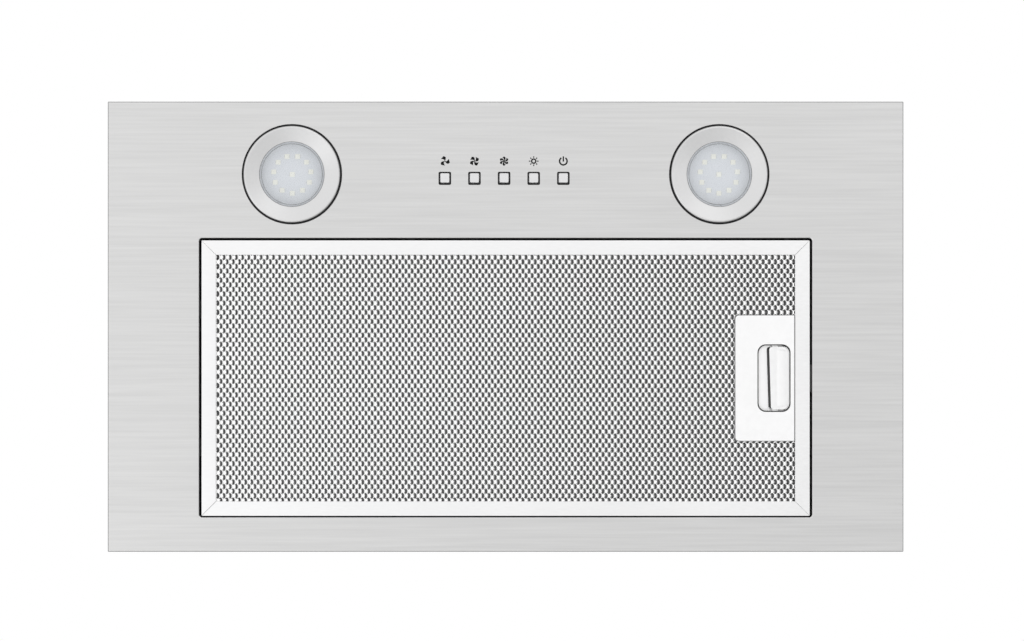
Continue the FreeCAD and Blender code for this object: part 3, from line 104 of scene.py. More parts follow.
def addNode(finish, kind, **values):
    node = finish.node_tree.nodes.new("ShaderNode" + kind)
    for socket, value in values.items():
        socket = socket.replace("_", " ")
        if isinstance(value, bpy.types.NodeSocket):
            finish.node_tree.links.new(value, node.inputs[socket])
        else:
            node.inputs[socket].default_value = value
    return node


def feed(finish, socket, source):
    shader = finish.node_tree.nodes["Principled BSDF"]
    finish.node_tree.links.new(source, shader.inputs[socket])


def placed(finish, stretch=(1, 1, 1), centre=(0, 0, 0)):
    point = addNode(finish, "TexCoord").outputs["Object"]
    shift = [-a * b for a, b in zip(centre, stretch)]
    return addNode(finish, "Mapping", Vector=point, Scale=stretch, Location=shift).outputs["Vector"]


def noise(finish, place, scale, detail=3.0):
    return addNode(finish, "TexNoise", Vector=place, Scale=scale, Detail=detail).outputs["Fac"]


def between(finish, factor, low, high, start=0.3, end=0.7):
    return addNode(
        finish, "MapRange", Value=factor, From_Min=start, From_Max=end, To_Min=low, To_Max=high
    ).outputs["Result"]


def blended(finish, factor, dark, light):
    mix = finish.node_tree.nodes.new("ShaderNodeMix")
    mix.data_type = "RGBA"
    finish.node_tree.links.new(factor, mix.inputs[0])
    mix.inputs[6].default_value = (*dark, 1)
    mix.inputs[7].default_value = (*light, 1)
    return mix.outputs[2]


def bumped(finish, height, depth):
    bump = addNode(finish, "Bump", Height=height, Distance=depth)
    feed(finish, "Normal", bump.outputs["Normal"])


def matt(finish):
    finish.node_tree.nodes["Principled BSDF"].inputs["Specular IOR Level"].default_value = 0.15
    return finish


def shade(colour, amount):
    return tuple(min(1, channel * amount) for channel in colour)


def grainedFinish(name, colour, roughness, metallic=0.0, scale=400, stretch=(1, 1, 1), spread=0.06,
                  roughSpread=0.08, depth=0.00002, mottle=0.03):
    finish = newFinish(name, colour, roughness, metallic)
    grain = noise(finish, placed(finish, stretch), scale, 4)
    patch = noise(finish, placed(finish), 14, 2)
    added = addNode(finish, "Math")
    finish.node_tree.links.new(between(finish, grain, 0, spread), added.inputs[0])
    finish.node_tree.links.new(between(finish, patch, 0, mottle), added.inputs[1])
    total = between(finish, added.outputs[0], 0, 1, 0, spread + mottle)
    step = (spread + mottle) / 2
    dark, light = shade(colour, 1 - step), shade(colour, 1 + step)
    feed(finish, "Base Color", blended(finish, total, dark, light))
    step = roughSpread / 2
    feed(finish, "Roughness", between(finish, grain, roughness - step, roughness + step))
    bumped(finish, grain, depth)
    return finish


faceFinish = {
    "colour": (0.665, 0.664, 0.662),
    "roughness": 0.34,
    "streaks": (14, 620, 620),  # along X, across Y
    "bands": (7, 150, 150),
    "spread": 0.055,
}


def brushedFace():
    finish = newFinish("brushedFace", faceFinish["colour"], faceFinish["roughness"], 1)
    fine = noise(finish, placed(finish, faceFinish["streaks"]), 1, 5)
    broad = noise(finish, placed(finish, faceFinish["bands"]), 1, 3)
    added = addNode(finish, "Math")
    finish.node_tree.links.new(between(finish, fine, 0, 0.8), added.inputs[0])
    finish.node_tree.links.new(between(finish, broad, 0, 0.2), added.inputs[1])
    spread = faceFinish["spread"]
    colour = faceFinish["colour"]
    streaks = blended(finish, added.outputs[0], shade(colour, 1 - spread), shade(colour, 1 + spread))
    feed(finish, "Base Color", streaks)
    feed(finish, "Roughness", between(finish, added.outputs[0], 0.3, 0.38, 0, 1))
    bumped(finish, fine, 0.00001)
    return finish


sheetFinish = {
    "colour": (0.58, 0.60, 0.62),
    "roughness": 0.42,
    "crystals": 90.0,  # in a metre, about
}


def galvanisedSheet():
    colour = sheetFinish["colour"]
    finish = newFinish("galvanisedSheet", colour, sheetFinish["roughness"], 1)
    spangle = addNode(finish, "TexVoronoi", Vector=placed(finish), Scale=sheetFinish["crystals"])
    crystal = addNode(finish, "SeparateColor", Color=spangle.outputs["Color"]).outputs[0]
    soft = noise(finish, placed(finish), 30)
    feed(finish, "Base Color", blended(finish, crystal, shade(colour, 0.86), shade(colour, 1.12)))
    feed(finish, "Roughness", between(finish, crystal, 0.34, 0.5, 0, 1))
    bumped(finish, soft, 0.00006)
    return finish


bezelFinish = {
    "colour": (0.68, 0.68, 0.682),
    "roughness": 0.3,
    "anisotropy": 0.7,
    "shineTurn": 0.25,  # a quarter turn, so that the shine spreads across the spun lines
}


def spunBezel():
    finish = grainedFinish("spunBezel", bezelFinish["colour"], bezelFinish["roughness"], 1, 500,
                           spread=0.03, roughSpread=0.05, depth=0.000004)
    shader = finish.node_tree.nodes["Principled BSDF"]
    shader.inputs["Anisotropic"].default_value = bezelFinish["anisotropy"]
    shader.inputs["Anisotropic Rotation"].default_value = bezelFinish["shineTurn"]
    turn = finish.node_tree.nodes.new("ShaderNodeTangent")
    turn.direction_type = "RADIAL"
    turn.axis = "Z"
    feed(finish, "Tangent", turn.outputs["Tangent"])
    return finish


lensFinish = {
    "colour": (0.80, 0.835, 0.86),
    "darkHaze": (0.78, 0.82, 0.855),
    "lightHaze": (0.82, 0.85, 0.88),
    "roughness": 0.28,
    "cover": 0.12,  # the share that isn't clear
    "coat": 0.3,
}


def frostedLens():
    finish = newFinish("frostedLens", lensFinish["colour"], lensFinish["roughness"])
    haze = noise(finish, placed(finish), 900, 2)
    shader = finish.node_tree.nodes["Principled BSDF"]
    shader.inputs["Alpha"].default_value = lensFinish["cover"]
    shader.inputs["Coat Weight"].default_value = lensFinish["coat"]
    mixed = blended(finish, haze, lensFinish["darkHaze"], lensFinish["lightHaze"])
    feed(finish, "Base Color", mixed)
    bumped(finish, haze, 0.000004)
    return finish


brushed = brushedFace()
galvanised = galvanisedSheet()
bezelSteel = spunBezel()
lensClear = frostedLens()
springSteel = grainedFinish("springSteel", (0.50, 0.50, 0.51), 0.34, 1, 300, (1, 8, 1))
brightSteel = grainedFinish("brightSteel", (0.62, 0.62, 0.63), 0.24, 1, 500)
zincScrew = grainedFinish("zincScrew", (0.66, 0.67, 0.68), 0.3, 1, 900, (1, 1, 4), 0.1)
moulded = {"spread": 0.2, "roughSpread": 0.1, "depth": 0.00003}
ductPlastic = grainedFinish("ductPlastic", (0.035, 0.036, 0.038), 0.5, 0, 700, **moulded)
fanPlastic = grainedFinish("fanPlastic", (0.05, 0.052, 0.055), 0.48, 0, 600, **moulded)
wheelPlastic = grainedFinish("wheelPlastic", (0.10, 0.105, 0.11), 0.42, 0, 500, spread=0.15)
motorCase = grainedFinish("motorCase", (0.50, 0.51, 0.52), 0.4, 1, 350, (1, 6, 6))
lamination = grainedFinish("lamination", (0.30, 0.30, 0.31), 0.45, 1, 40, (40, 1, 1), 0.3)
copperWire = grainedFinish("copperWire", (0.72, 0.33, 0.16), 0.33, 1, 60, (30, 1, 1), 0.25)
blackRubber = matt(grainedFinish("blackRubber", (0.02, 0.02, 0.021), 0.75, 0, 800))
capacitorShell = grainedFinish("capacitorShell", (0.74, 0.74, 0.72), 0.4, 0, 500)
boxPlastic = grainedFinish(
    "boxPlastic", (0.62, 0.63, 0.62), 0.45, 0, 700, spread=0.05, roughSpread=0.1, depth=0.00003
)
leadSheath = grainedFinish("leadSheath", (0.60, 0.60, 0.59), 0.5, 0, 600)
blackPlastic = matt(grainedFinish("blackPlastic", (0.016, 0.016, 0.017), 0.5, 0, 800, spread=0.2))
capSilver = grainedFinish("capSilver", (0.76, 0.76, 0.765), 0.34, 1, 400, (0.2, 6, 1), 0.06)
lampCase = grainedFinish("lampCase", (0.86, 0.86, 0.855), 0.45, 0, 500)
boardWhite = grainedFinish("boardWhite", (0.80, 0.825, 0.865), 0.45, 0, 600, spread=0.03)
chipPhosphor = grainedFinish("chipPhosphor", (1.0, 1.0, 0.90), 0.3, 0, 900, spread=0.03)
railAluminium = grainedFinish("railAluminium", (0.9, 0.9, 0.903), 0.36, 1, 500, (0.5, 2, 2), 0.03)
meshAluminium = grainedFinish("meshAluminium", (0.98, 0.98, 0.98), 0.26, 1, 900, spread=0.08)
# painted shade: the filter's inner layers are aluminium, made dark to stand in for the shade inside
# the filter
shadedCoreAluminium = grainedFinish("shadedCoreAluminium", (0.11, 0.11, 0.111), 0.35, 1, 900, spread=0.2)
latchMetal = grainedFinish("latchMetal", (0.97, 0.97, 0.972), 0.4, 1, 300, spread=0.02)
slidePlastic = grainedFinish("slidePlastic", (0.91, 0.91, 0.912), 0.38, 0.6, 200, spread=0.04)
# painted shade: a dark steel on the outer broken edges of the plate and of the latch cover, for the
# line of shade along them
edgeShadeSteel = grainedFinish("edgeShadeSteel", (0.26, 0.26, 0.262), 0.45, 1, 400, (0.2, 6, 6))
ringGrey = grainedFinish("ringGrey", (0.2, 0.2, 0.2), 0.5, 0, 700)
# painted shade: near black on the latch recess's walls and on the slide's foot and tongue, where
# shade falls
paintedShadeDark = grainedFinish("paintedShadeDark", (0.06, 0.06, 0.06), 0.5, 0.5, 600)
# black seat and tabs, which also paint in the shade of the dark interior seen through the gap round
# the filter
gapShadeBlack = matt(grainedFinish("gapShadeBlack", (0.02, 0.02, 0.021), 0.5, 0, 700, spread=0.2))
printBlack = matt(grainedFinish("printBlack", (0.006, 0.006, 0.006), 0.6, 0, 900))
print("materials:", len(bpy.data.materials))

# Finishes of the nodes that keep their CAD shape, with the width of their broken edges in mm

nodeFinishes = {
    # the filter's seat and tabs are black, painted shade of the interior behind the gap round the
    # filter
    "filter_seat": (gapShadeBlack, 0.15),
    "body_roof": (galvanised, 0.3),
    "body_front": (galvanised, 0.3),
    "body_rear": (galvanised, 0.3),
    "body_left": (galvanised, 0.3),
    "body_right": (galvanised, 0.3),
    "front_partition": (galvanised, 0.2),
    "outlet_collar": (ductPlastic, 0.4),
    "flap_front": (ductPlastic, 0.3),
    "flap_rear": (ductPlastic, 0.3),
    "flap_pin": (brightSteel, 0.2),
    "short_screws": (zincScrew, 0.3),
    "scroll_screws": (zincScrew, 0.3),
    "bracket_screws": (zincScrew, 0.3),
    "motor_bolts": (zincScrew, 0.3),
    "scroll_left": (fanPlastic, 0.4),
    "scroll_right": (fanPlastic, 0.4),
    "wheel_hub": (wheelPlastic, 0.3),
    "wheel_blades": (wheelPlastic, 0),
    "wheel_rings": (wheelPlastic, 0.3),
    "motor_front_shell": (motorCase, 0.4),
    "motor_rear_shell": (motorCase, 0.4),
    "motor_bearings": (brightSteel, 0.2),
    "motor_shaft": (brightSteel, 0.2),
    "motor_bracket": (galvanised, 0.2),
    "motor_mounts": (blackRubber, 0.3),
    "stator_core": (lamination, 0.2),
    "stator_windings": (copperWire, 0.6),
    "rotor_core": (lamination, 0.2),
    "filter_pegs": (gapShadeBlack, 0),
    "latch_tray": (latchMetal, 0.15),
    "latch_spring": (springSteel, 0.1),
    "lamp_housings": (lampCase, 0.4),
    "lamp_clips": (springSteel, 0.1),
    "button_guide": (blackPlastic, 0.2),
    "switch_block": (blackPlastic, 0.3),
    "button_springs": (springSteel, 0),
    "control_box": (boxPlastic, 0.4),
    "control_box_lid": (boxPlastic, 0.4),
    "capacitor": (capacitorShell, 0.6),
    "capacitor_clip": (blackPlastic, 0.2),
    "terminal_block": (capacitorShell, 0.3),
    "cable_gland": (blackPlastic, 0.4),
    "inner_leads": (leadSheath, 0),
    "cabinet_clips": (springSteel, 0.15),
}


def finishNode(name, finish, edge):
    node = cadNodes[name]
    node.data.materials.clear()
    node.data.materials.append(finish)
    node.data.polygons.foreach_set("use_smooth", [True] * len(node.data.polygons))
    weld = node.modifiers.new("weld", "WELD")
    weld.merge_threshold = 0.001 * mm
    bevel = node.modifiers.new("edges", "BEVEL")
    bevel.width = (edge or 0.02) * mm
    bevel.segments = 2 if edge else 1
    bevel.limit_method = "ANGLE"
    bevel.angle_limit = math.radians(33)
    bevel.use_clamp_overlap = False
    flat = node.modifiers.new("flats", "WEIGHTED_NORMAL")
    flat.keep_sharp = True


for name, (finish, edge) in nodeFinishes.items():
    finishNode(name, finish, edge)
print("finishes on", len(nodeFinishes), "of", len(cadNodes), "nodes")

# Modelling helpers. All is deselected first, then corners, edges and faces are picked by their
# place


def makeActive(piece):
    bpy.ops.object.select_all(action="DESELECT")
    piece.select_set(True)
    bpy.context.view_layer.objects.active = piece


def applyPlace(piece):
    makeActive(piece)
    bpy.ops.object.transform_apply(location=True, rotation=True, scale=True)


def applyModifier(piece, kind, **settings):
    makeActive(piece)
    modifier = piece.modifiers.new(kind.lower(), kind)
    for setting, value in settings.items():
        setattr(modifier, setting, value)
    bpy.ops.object.modifier_apply(modifier=modifier.name)


def startEdit(piece):
    makeActive(piece)
    bpy.ops.object.mode_set(mode="EDIT")
    bpy.ops.mesh.select_all(action="DESELECT")


def endEdit():
    bpy.ops.mesh.select_all(action="SELECT")
    bpy.ops.mesh.normals_make_consistent(inside=False)
    bpy.ops.object.mode_set(mode="OBJECT")


def pick(parts, wanted):
    mode = {"verts": "VERT", "edges": "EDGE", "faces": "FACE"}[parts]
    bpy.ops.mesh.select_mode(type=mode)
    bpy.ops.mesh.select_all(action="DESELECT")
    mesh = bmesh.from_edit_mesh(bpy.context.object.data)
    for part in getattr(mesh, parts):
        part.select_set(bool(wanted(part)))
    mesh.select_flush_mode()
    bmesh.update_edit_mesh(bpy.context.object.data)


def spot(part):  # the middle of an edge or a face, in mm
    corners = [corner.co for corner in part.verts]
    return sum(corners, Vector()) / len(corners) / mm


def isUpright(edge):
    return abs(edge.verts[0].co.z - edge.verts[1].co.z) > edge.calc_length() * 0.99


def addBlock(name, low, high):
    bpy.ops.object.select_all(action="DESELECT")
    low, high = Vector(low) * mm, Vector(high) * mm
    bpy.ops.mesh.primitive_cube_add(size=1, location=(low + high) / 2, scale=high - low)
    piece = bpy.context.object
    piece.name = name
    applyPlace(piece)
    return piece


def addRound(name, centre, profile, corners=96, hollow=False):
    radius, level = profile[0]  # mm, from the piece's centre and the frame's zero
    middle = Vector((*centre, level)) * mm
    bpy.ops.object.select_all(action="DESELECT")
    bpy.ops.mesh.primitive_circle_add(
        vertices=corners, radius=radius * mm, location=middle,
        fill_type="NOTHING" if hollow else "NGON",
    )
    piece = bpy.context.object
    piece.name = name
    applyPlace(piece)
    startEdit(piece)
    bpy.ops.mesh.select_all(action="SELECT")
    for nextRadius, nextLevel in profile[1:] + (profile[:1] if hollow else []):
        rise = (0, 0, (nextLevel - level) * mm)
        if hollow:
            bpy.ops.mesh.extrude_edges_move(TRANSFORM_OT_translate={"value": rise})
        else:
            bpy.ops.mesh.extrude_region_move(TRANSFORM_OT_translate={"value": rise})
        grow, pivot = nextRadius / radius, Vector((*centre, nextLevel)) * mm
        bpy.ops.transform.resize(value=(grow, grow, 1), center_override=pivot)
        radius, level = nextRadius, nextLevel
    if hollow:
        bpy.ops.mesh.select_all(action="SELECT")
        bpy.ops.mesh.remove_doubles(threshold=0.001 * mm)
    endEdit()
    return piece


def cutAway(piece, *cutters):
    for cutter in cutters:
        applyModifier(piece, "BOOLEAN", object=cutter, operation="DIFFERENCE", solver="EXACT")
        bpy.data.objects.remove(cutter)


def softenEdges(piece, width, steps=2, limit=35):
    applyModifier(piece, "BEVEL", width=width * mm, segments=steps, limit_method="ANGLE",
                  angle_limit=math.radians(limit))


def roundUprights(block, radius, wanted=lambda edge: True, steps=8):
    startEdit(block)
    pick("edges", lambda edge: isUpright(edge) and wanted(edge))
    bpy.ops.mesh.bevel(offset=radius * mm, segments=steps, affect="EDGES")
    endEdit()


def flareFoot(cutter, level, radius):  # rounds the lower edge of the cutter's hole, at a level
    low, high = (Vector(cutter.bound_box[corner]) / mm for corner in (0, 6))
    half, middle = (high - low) / 2, (high + low) / 2
    startEdit(cutter)
    pick("faces", lambda side: side.normal.z < -0.9)
    bpy.ops.transform.translate(value=(0, 0, (level + radius - low.z) * mm))
    height, spread = level + radius, 0
    for turn in (30, 60, 90):
        nextHeight = level + radius * (1 - math.sin(math.radians(turn)))
        if turn == 90:
            nextHeight -= 0.02  # just past the level, for a clean cut
        nextSpread = radius * (1 - math.cos(math.radians(turn)))
        rise = (0, 0, (nextHeight - height) * mm)
        bpy.ops.mesh.extrude_region_move(TRANSFORM_OT_translate={"value": rise})
        grow = [(side + nextSpread) / (side + spread) for side in (half.x, half.y)]
        bpy.ops.transform.resize(value=(*grow, 1), center_override=middle * mm)
        height, spread = nextHeight, nextSpread
    bpy.ops.mesh.extrude_region_move(TRANSFORM_OT_translate={"value": (0, 0, -1 * mm)})
    endEdit()


def joined(*pieces):
    makeActive(pieces[0])
    for piece in pieces[1:]:
        piece.select_set(True)
    bpy.ops.object.join()
    return pieces[0]


def copied(piece, name, shift):
    twin = piece.copy()
    twin.data = piece.data.copy()
    twin.name = name
    bpy.context.collection.objects.link(twin)
    twin.data.transform(Matrix.Translation(Vector(shift) * mm))
    return twin


def finishPiece(piece, finish, body, slot, *nodes):
    piece.data.materials.clear()
    piece.data.materials.append(finish)
    makeActive(piece)
    bpy.ops.object.shade_smooth_by_angle(angle=math.radians(32))
    if len(piece.data.polygons) < 20000:
        applyModifier(piece, "WEIGHTED_NORMAL", keep_sharp=True)
    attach(piece, body)
    if nodes:
        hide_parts(*nodes)


# Lamp and button places, from the frame

bezelLow, bezelHigh = (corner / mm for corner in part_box("lamp_bezels"))
lensLow, lensHigh = (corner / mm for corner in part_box("lamp_lenses"))
boardLow, boardHigh = (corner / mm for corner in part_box("led_boards"))
plateFace = face / mm
lampRadius = (bezelHigh.y - bezelLow.y) / 2
lampCentre = (bezelLow.x + lampRadius, bezelLow.y + lampRadius)
lampShift = (bezelHigh.x - bezelLow.x - 2 * lampRadius, 0, 0)
buttonNames = [
    "low_speed_button", "middle_speed_button", "high_speed_button", "lamp_button", "power_button",
]

# Face plate: a folded sheet with the filter's opening, two lamp holes and five button holes

panel = {
    "gauge": 0.8,
    "lip": 8,
    "edge": 0.45,
    "seatReach": 3.5,  # how far the filter's seat reaches past the opening
    "openingCorner": 2,
    "openingEdge": 0.7,
    "lampHole": 29,
    "buttonHole": (8.3, 8.7),
    "buttonShift": 0.3,  # from a cap's middle to its hole's, along Y
    "buttonCorner": 1,
}


def addPanel():
    low, high = (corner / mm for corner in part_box("face_plate"))
    gauge, lip, edge = panel["gauge"], panel["lip"], panel["edge"]
    plate = addBlock("facePlate", low, high)
    startEdit(plate)
    pick("edges", lambda side: spot(side).z < high.z - 0.1)
    bpy.ops.mesh.bevel(offset=edge * mm, segments=3, affect="EDGES")
    endEdit()
    inside = Vector((gauge, gauge, gauge))
    room = addBlock("room", low + inside, high - inside)
    inner = Vector((lip, lip, 0))
    mouthLow = low + inner + Vector((0, 0, gauge + 1))
    mouth = addBlock("mouth", mouthLow, high - inner + Vector((0, 0, 1)))
    seatLow, seatHigh = (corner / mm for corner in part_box("filter_seat"))
    reach = Vector((panel["seatReach"], panel["seatReach"], 0))
    opening = addBlock(
        "opening",
        Vector((seatLow.x, seatLow.y, low.z - 1)) + reach,
        Vector((seatHigh.x, seatHigh.y, low.z + gauge + 1)) - reach,
    )
    roundUprights(opening, panel["openingCorner"])
    flareFoot(opening, low.z, panel["openingEdge"])
    holes = []
    span = (low.z - 1, low.z + gauge + 1)
    for shift in (0, lampShift[0]):
        centre = (lampCentre[0] + shift, lampCentre[1])
        wall = [(panel["lampHole"], level) for level in span]
        holes.append(addRound("lampHole", centre, wall))
    length, width = panel["buttonHole"]
    for node in buttonNames:
        centre = centreOf(node) / mm
        centre.y += panel["buttonShift"]
        hole = addBlock(
            "buttonHole",
            (centre.x - length / 2, centre.y - width / 2, span[0]),
            (centre.x + length / 2, centre.y + width / 2, span[1]),
        )
        roundUprights(hole, panel["buttonCorner"], steps=4)
        holes.append(hole)
    cutAway(plate, room, mouth, opening, *holes)
    finishPiece(plate, brushed, "hood", "face_steel", "face_plate")
    # painted shade: the plate's outer broken edge takes the dark edge steel, for the line of shade
    # along the plate's edge
    plate.data.materials.append(edgeShadeSteel)
    for side in plate.data.polygons:
        place = side.center / mm
        atEdge = min(place.x - low.x, high.x - place.x, place.y - low.y, high.y - place.y) < edge
        if atEdge and place.z < low.z + edge and abs(side.normal.z) < 0.98:
            side.material_index = 1
    print("face plate:", len(plate.data.polygons), "faces")


addPanel()

# Filter: expanded metal sheets in four mitred channel rails

filterLow, filterHigh = (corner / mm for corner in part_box("filter_rails"))
latchLow, latchHigh = (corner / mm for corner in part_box("latch_cover"))
trayLow, trayHigh = (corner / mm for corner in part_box("latch_tray"))
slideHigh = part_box("latch_slide")[1] / mm
slideBase = latchHigh.z + 0.3  # the level of its lower face behind the cover
tabLow, tabHigh = (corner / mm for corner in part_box("filter_pegs"))
middleLine = (latchLow.y + latchHigh.y) / 2

rails = {
    "face": 9.6,
    "wall": 1,
    "mitreGap": 0.05,
    "edge": 0.3,
    "tongueSlot": (9.3, 2.0),  # half length and height
    "tabSlot": (12.2, 1.1),  # length and height
}


def addRail(name, low, high, inward, *slots):
    low, high, inward = Vector(low), Vector(high), Vector(inward)
    along = Vector((abs(inward.y), abs(inward.x), 0))
    rail = addBlock(name, low, high)
    startEdit(rail)
    pick("faces", lambda side: side.normal.dot(inward) > 0.9 or abs(side.normal.dot(along)) > 0.9)
    bpy.ops.mesh.delete(type="FACE")
    bpy.ops.object.mode_set(mode="OBJECT")
    applyModifier(rail, "SOLIDIFY", thickness=rails["wall"] * mm, offset=-1, use_even_offset=True)
    centre, half = (low + high) / 2, (high - low) / 2
    for way in (-1, 1):
        mitre = (along * way + inward).normalized()
        corner = centre + along * way * half.dot(along) - inward * abs(half.dot(inward))
        startEdit(rail)
        bpy.ops.mesh.select_all(action="SELECT")
        bpy.ops.mesh.bisect(
            plane_co=(corner - mitre * rails["mitreGap"] / 2) * mm, plane_no=mitre, use_fill=True,
            clear_outer=True,
        )
        endEdit()
    cutAway(rail, *slots)
    softenEdges(rail, rails["edge"])
    finishPiece(rail, railAluminium, "filter", "rail_aluminium", "filter_rails")


def addRails():
    low, high, face = filterLow, filterHigh, rails["face"]
    halfSlot, slotHeight = rails["tongueSlot"]
    tongueSlot = addBlock(
        "tongueSlot",
        (high.x - 2, middleLine - halfSlot, slideBase - 0.2),
        (high.x + 1, middleLine + halfSlot, slideBase - 0.2 + slotHeight),
    )
    tabLength, tabHeight = rails["tabSlot"]
    tabSlots = []
    for near in (tabLow.y - 0.1, tabHigh.y + 0.1 - tabLength):
        base = (tabLow.z + tabHigh.z - tabHeight) / 2
        far = (low.x + 2, near + tabLength, base + tabHeight)
        tabSlots.append(addBlock("tabSlot", (low.x - 1, near, base), far))
    addRail("filterRailFront", low, (high.x, low.y + face, high.z), (0, 1, 0))
    addRail("filterRailBack", (low.x, high.y - face, low.z), high, (0, -1, 0))
    addRail("filterRailLeft", low, (low.x + face, high.y, high.z), (1, 0, 0), *tabSlots)
    addRail("filterRailRight", (high.x - face, low.y, low.z), high, (-1, 0, 0), tongueSlot)
    print("rails")


nets = {
    "gauge": 0.36,
    "border": 3,  # how far the sheets reach under the rails
    "pitch": (4.07, 3.03),
    "cellFaces": 6,
    "side": 0.3,  # length of a cell's two sides along Y, in pitches
    "deep": (0.365, 1.0),  # the hole's deep side: shift in pitches, level from the bonds
    "raised": (-0.242, -0.25),
    "tip": (0.06, 0.35),
    "tipLength": 0.82,
    "trayReach": 0.4,  # how far a cell may reach over the tray, in mm along X
    "trayRows": 0.6,  # and in pitches along Y
    "sheets": [  # name, level, rows moved by, tilt, facing, finish, node
        ("filterNetLower", -3.45, 0, 1, 1, meshAluminium, "filter_screen_lower"),
        # the two inner layers take the dark core finish, which is painted shade
        ("filterLayerLower", -1.75, 1, -1, 1, shadedCoreAluminium, "filter_core"),
        ("filterLayerUpper", 0.35, 0, 1, 1, shadedCoreAluminium, "filter_core"),
        ("filterNetUpper", 2.25, 0, 1, -1, meshAluminium, "filter_screen_upper"),
    ],
}


def addNetTile(name, across, along, tilt, facing):
    radius, side = across / math.sqrt(3), nets["side"] * along
    tipShift, tipLevel = nets["tip"]
    lift = tipLevel * mm
    aside = 1  # a moved part waits this far off, out of the next picks
    bpy.ops.object.select_all(action="DESELECT")
    bpy.ops.mesh.primitive_circle_add(vertices=6, radius=radius)
    tile = bpy.context.object
    tile.name = name
    startEdit(tile)
    pick("verts", lambda corner: abs(corner.co.x) > across / 4)
    bpy.ops.transform.resize(value=(1, side / (radius / 2), 1), center_override=(0, 0, 0))
    pick("verts", lambda corner: abs(corner.co.x) < across / 4)
    bpy.ops.transform.resize(value=(1, (along - side) / radius, 1), center_override=(0, 0, 0))
    bpy.ops.mesh.select_all(action="SELECT")
    bpy.ops.mesh.extrude_edges_move(TRANSFORM_OT_translate={"value": (0, 0, lift)})
    moves = [  # the part of the hole's rim, and how it moves
        (lambda corner: corner.co.x * tilt < -across / 4, *nets["deep"]),
        (lambda corner: corner.co.x * tilt > across / 4, *nets["raised"]),
        (lambda corner: abs(corner.co.y) > (along - side) * 0.9, tipShift, tipLevel),
    ]
    for isPart, shift, level in moves:
        pick("verts", lambda corner: corner.co.z > lift * 0.9 and isPart(corner))
        if level == tipLevel:
            bpy.ops.transform.resize(value=(1, nets["tipLength"], 1), center_override=(0, 0, 0))
        drop = (level * facing - tipLevel) * mm - aside
        bpy.ops.transform.translate(value=(shift * across * tilt, 0, drop))
    pick("verts", lambda corner: corner.co.z < -aside / 2)
    bpy.ops.transform.translate(value=(0, 0, aside))
    bpy.ops.object.mode_set(mode="OBJECT")
    return tile


def addNet(name, level, moved, tilt, facing, finish, node):
    pitch = nets["pitch"]
    across, along = pitch[0] * mm, pitch[1] * mm
    railFace = Vector((rails["face"], rails["face"], 0))
    border = Vector((1, 1, 0)) * nets["border"]
    start = filterLow + railFace - border
    start.y -= moved * pitch[1]
    end = filterHigh - railFace + border
    columns = math.ceil((end.x - start.x) / pitch[0])
    pairs = math.ceil((end.y - start.y) / pitch[1] / 2)
    net = addNetTile(name, across, along, tilt, facing)
    shared = {"use_relative_offset": False, "use_constant_offset": True}
    applyModifier(net, "ARRAY", count=2, constant_offset_displace=(across / 2, along, 0), **shared)
    applyModifier(net, "ARRAY", count=columns, constant_offset_displace=(across, 0, 0), **shared)
    applyModifier(net, "ARRAY", count=pairs, constant_offset_displace=(0, 2 * along, 0), **shared)
    net.location = ((start.x + pitch[0] / 2) * mm, (start.y + pitch[1] / 2) * mm, level * mm)
    applyPlace(net)

    def meetsTray(face):  # the whole tile that this face is in makes room for the latch's tray
        cell = face.index // nets["cellFaces"]
        pair, second = cell // 2, cell % 2
        x = start.x + (pair % columns + (1 + second) / 2) * pitch[0]
        y = start.y + (pair // columns * 2 + second + 0.5) * pitch[1]
        reach, margin = pitch[0] / 2 - nets["trayReach"], pitch[1] * nets["trayRows"]
        return x + reach > trayLow.x and trayLow.y - margin < y < trayHigh.y + margin

    startEdit(net)
    pick("faces", meetsTray)
    bpy.ops.mesh.delete(type="FACE")
    bpy.ops.mesh.select_all(action="SELECT")
    bpy.ops.mesh.remove_doubles(threshold=0.02 * mm)
    endEdit()
    applyModifier(net, "SOLIDIFY", thickness=nets["gauge"] * mm, offset=0)
    finishPiece(net, finish, "filter", "screen_aluminium", node)
    print(name, columns, "x", pairs * 2, "cells,", len(net.data.polygons) * 2, "triangles")


# Latch: a cover plate with a finger recess, and a sprung slide in the tray behind it

latch = {
    "corner": 2.7,
    "recess": (167, 187.4),  # left and right ends
    "recessHalf": 21.6,
    "recessCorner": 5.2,
    "recessEdge": 0.8,
    "coverEdge": 0.5,
    "finger": (174.6, 187),
    "fingerHalf": 20.7,
    "fingerCorner": 4.6,
    "fingerToe": 2,  # rounding of its left corners, which meet the recess's own when it is pulled
    "fingerFoot": 1.5,
    "fingerSlant": 0.55,
    "fingerSink": 0.2,
    "dishRadius": 27,
    "dishDepth": 1.3,
    "dishHalf": 18.7,
    "baseRight": 199.25,
    "ears": (176, 180, 35.1),
    "tongue": (9, 1.5),
}


def addLatchCover():
    left, right = latch["recess"]
    half = latch["recessHalf"]
    cover = addBlock("latchCover", latchLow, latchHigh)
    roundUprights(cover, latch["corner"], lambda edge: spot(edge).x < left, 5)
    recess = addBlock(
        "recess",
        (left, middleLine - half, latchLow.z - 1),
        (right, middleLine + half, latchHigh.z + 1),
    )
    roundUprights(recess, latch["recessCorner"])
    flareFoot(recess, latchLow.z, latch["recessEdge"])
    softenEdges(cover, latch["coverEdge"])
    cutAway(cover, recess)
    finishPiece(cover, latchMetal, "filter", "latch_metal", "latch_cover")
    # painted shade: the recess's walls are near black and the cover's outer walls dark, for the
    # shade in the recess and along the cover's edge
    cover.data.materials.append(paintedShadeDark)
    cover.data.materials.append(edgeShadeSteel)
    margin = latch["recessEdge"]
    for side in cover.data.polygons:
        place = side.center / mm
        inLength = left - margin < place.x < right + margin
        inRecess = inLength and abs(place.y - middleLine) < half + margin
        if abs(side.normal.z) < 0.98:
            side.material_index = 1 if inRecess else 2


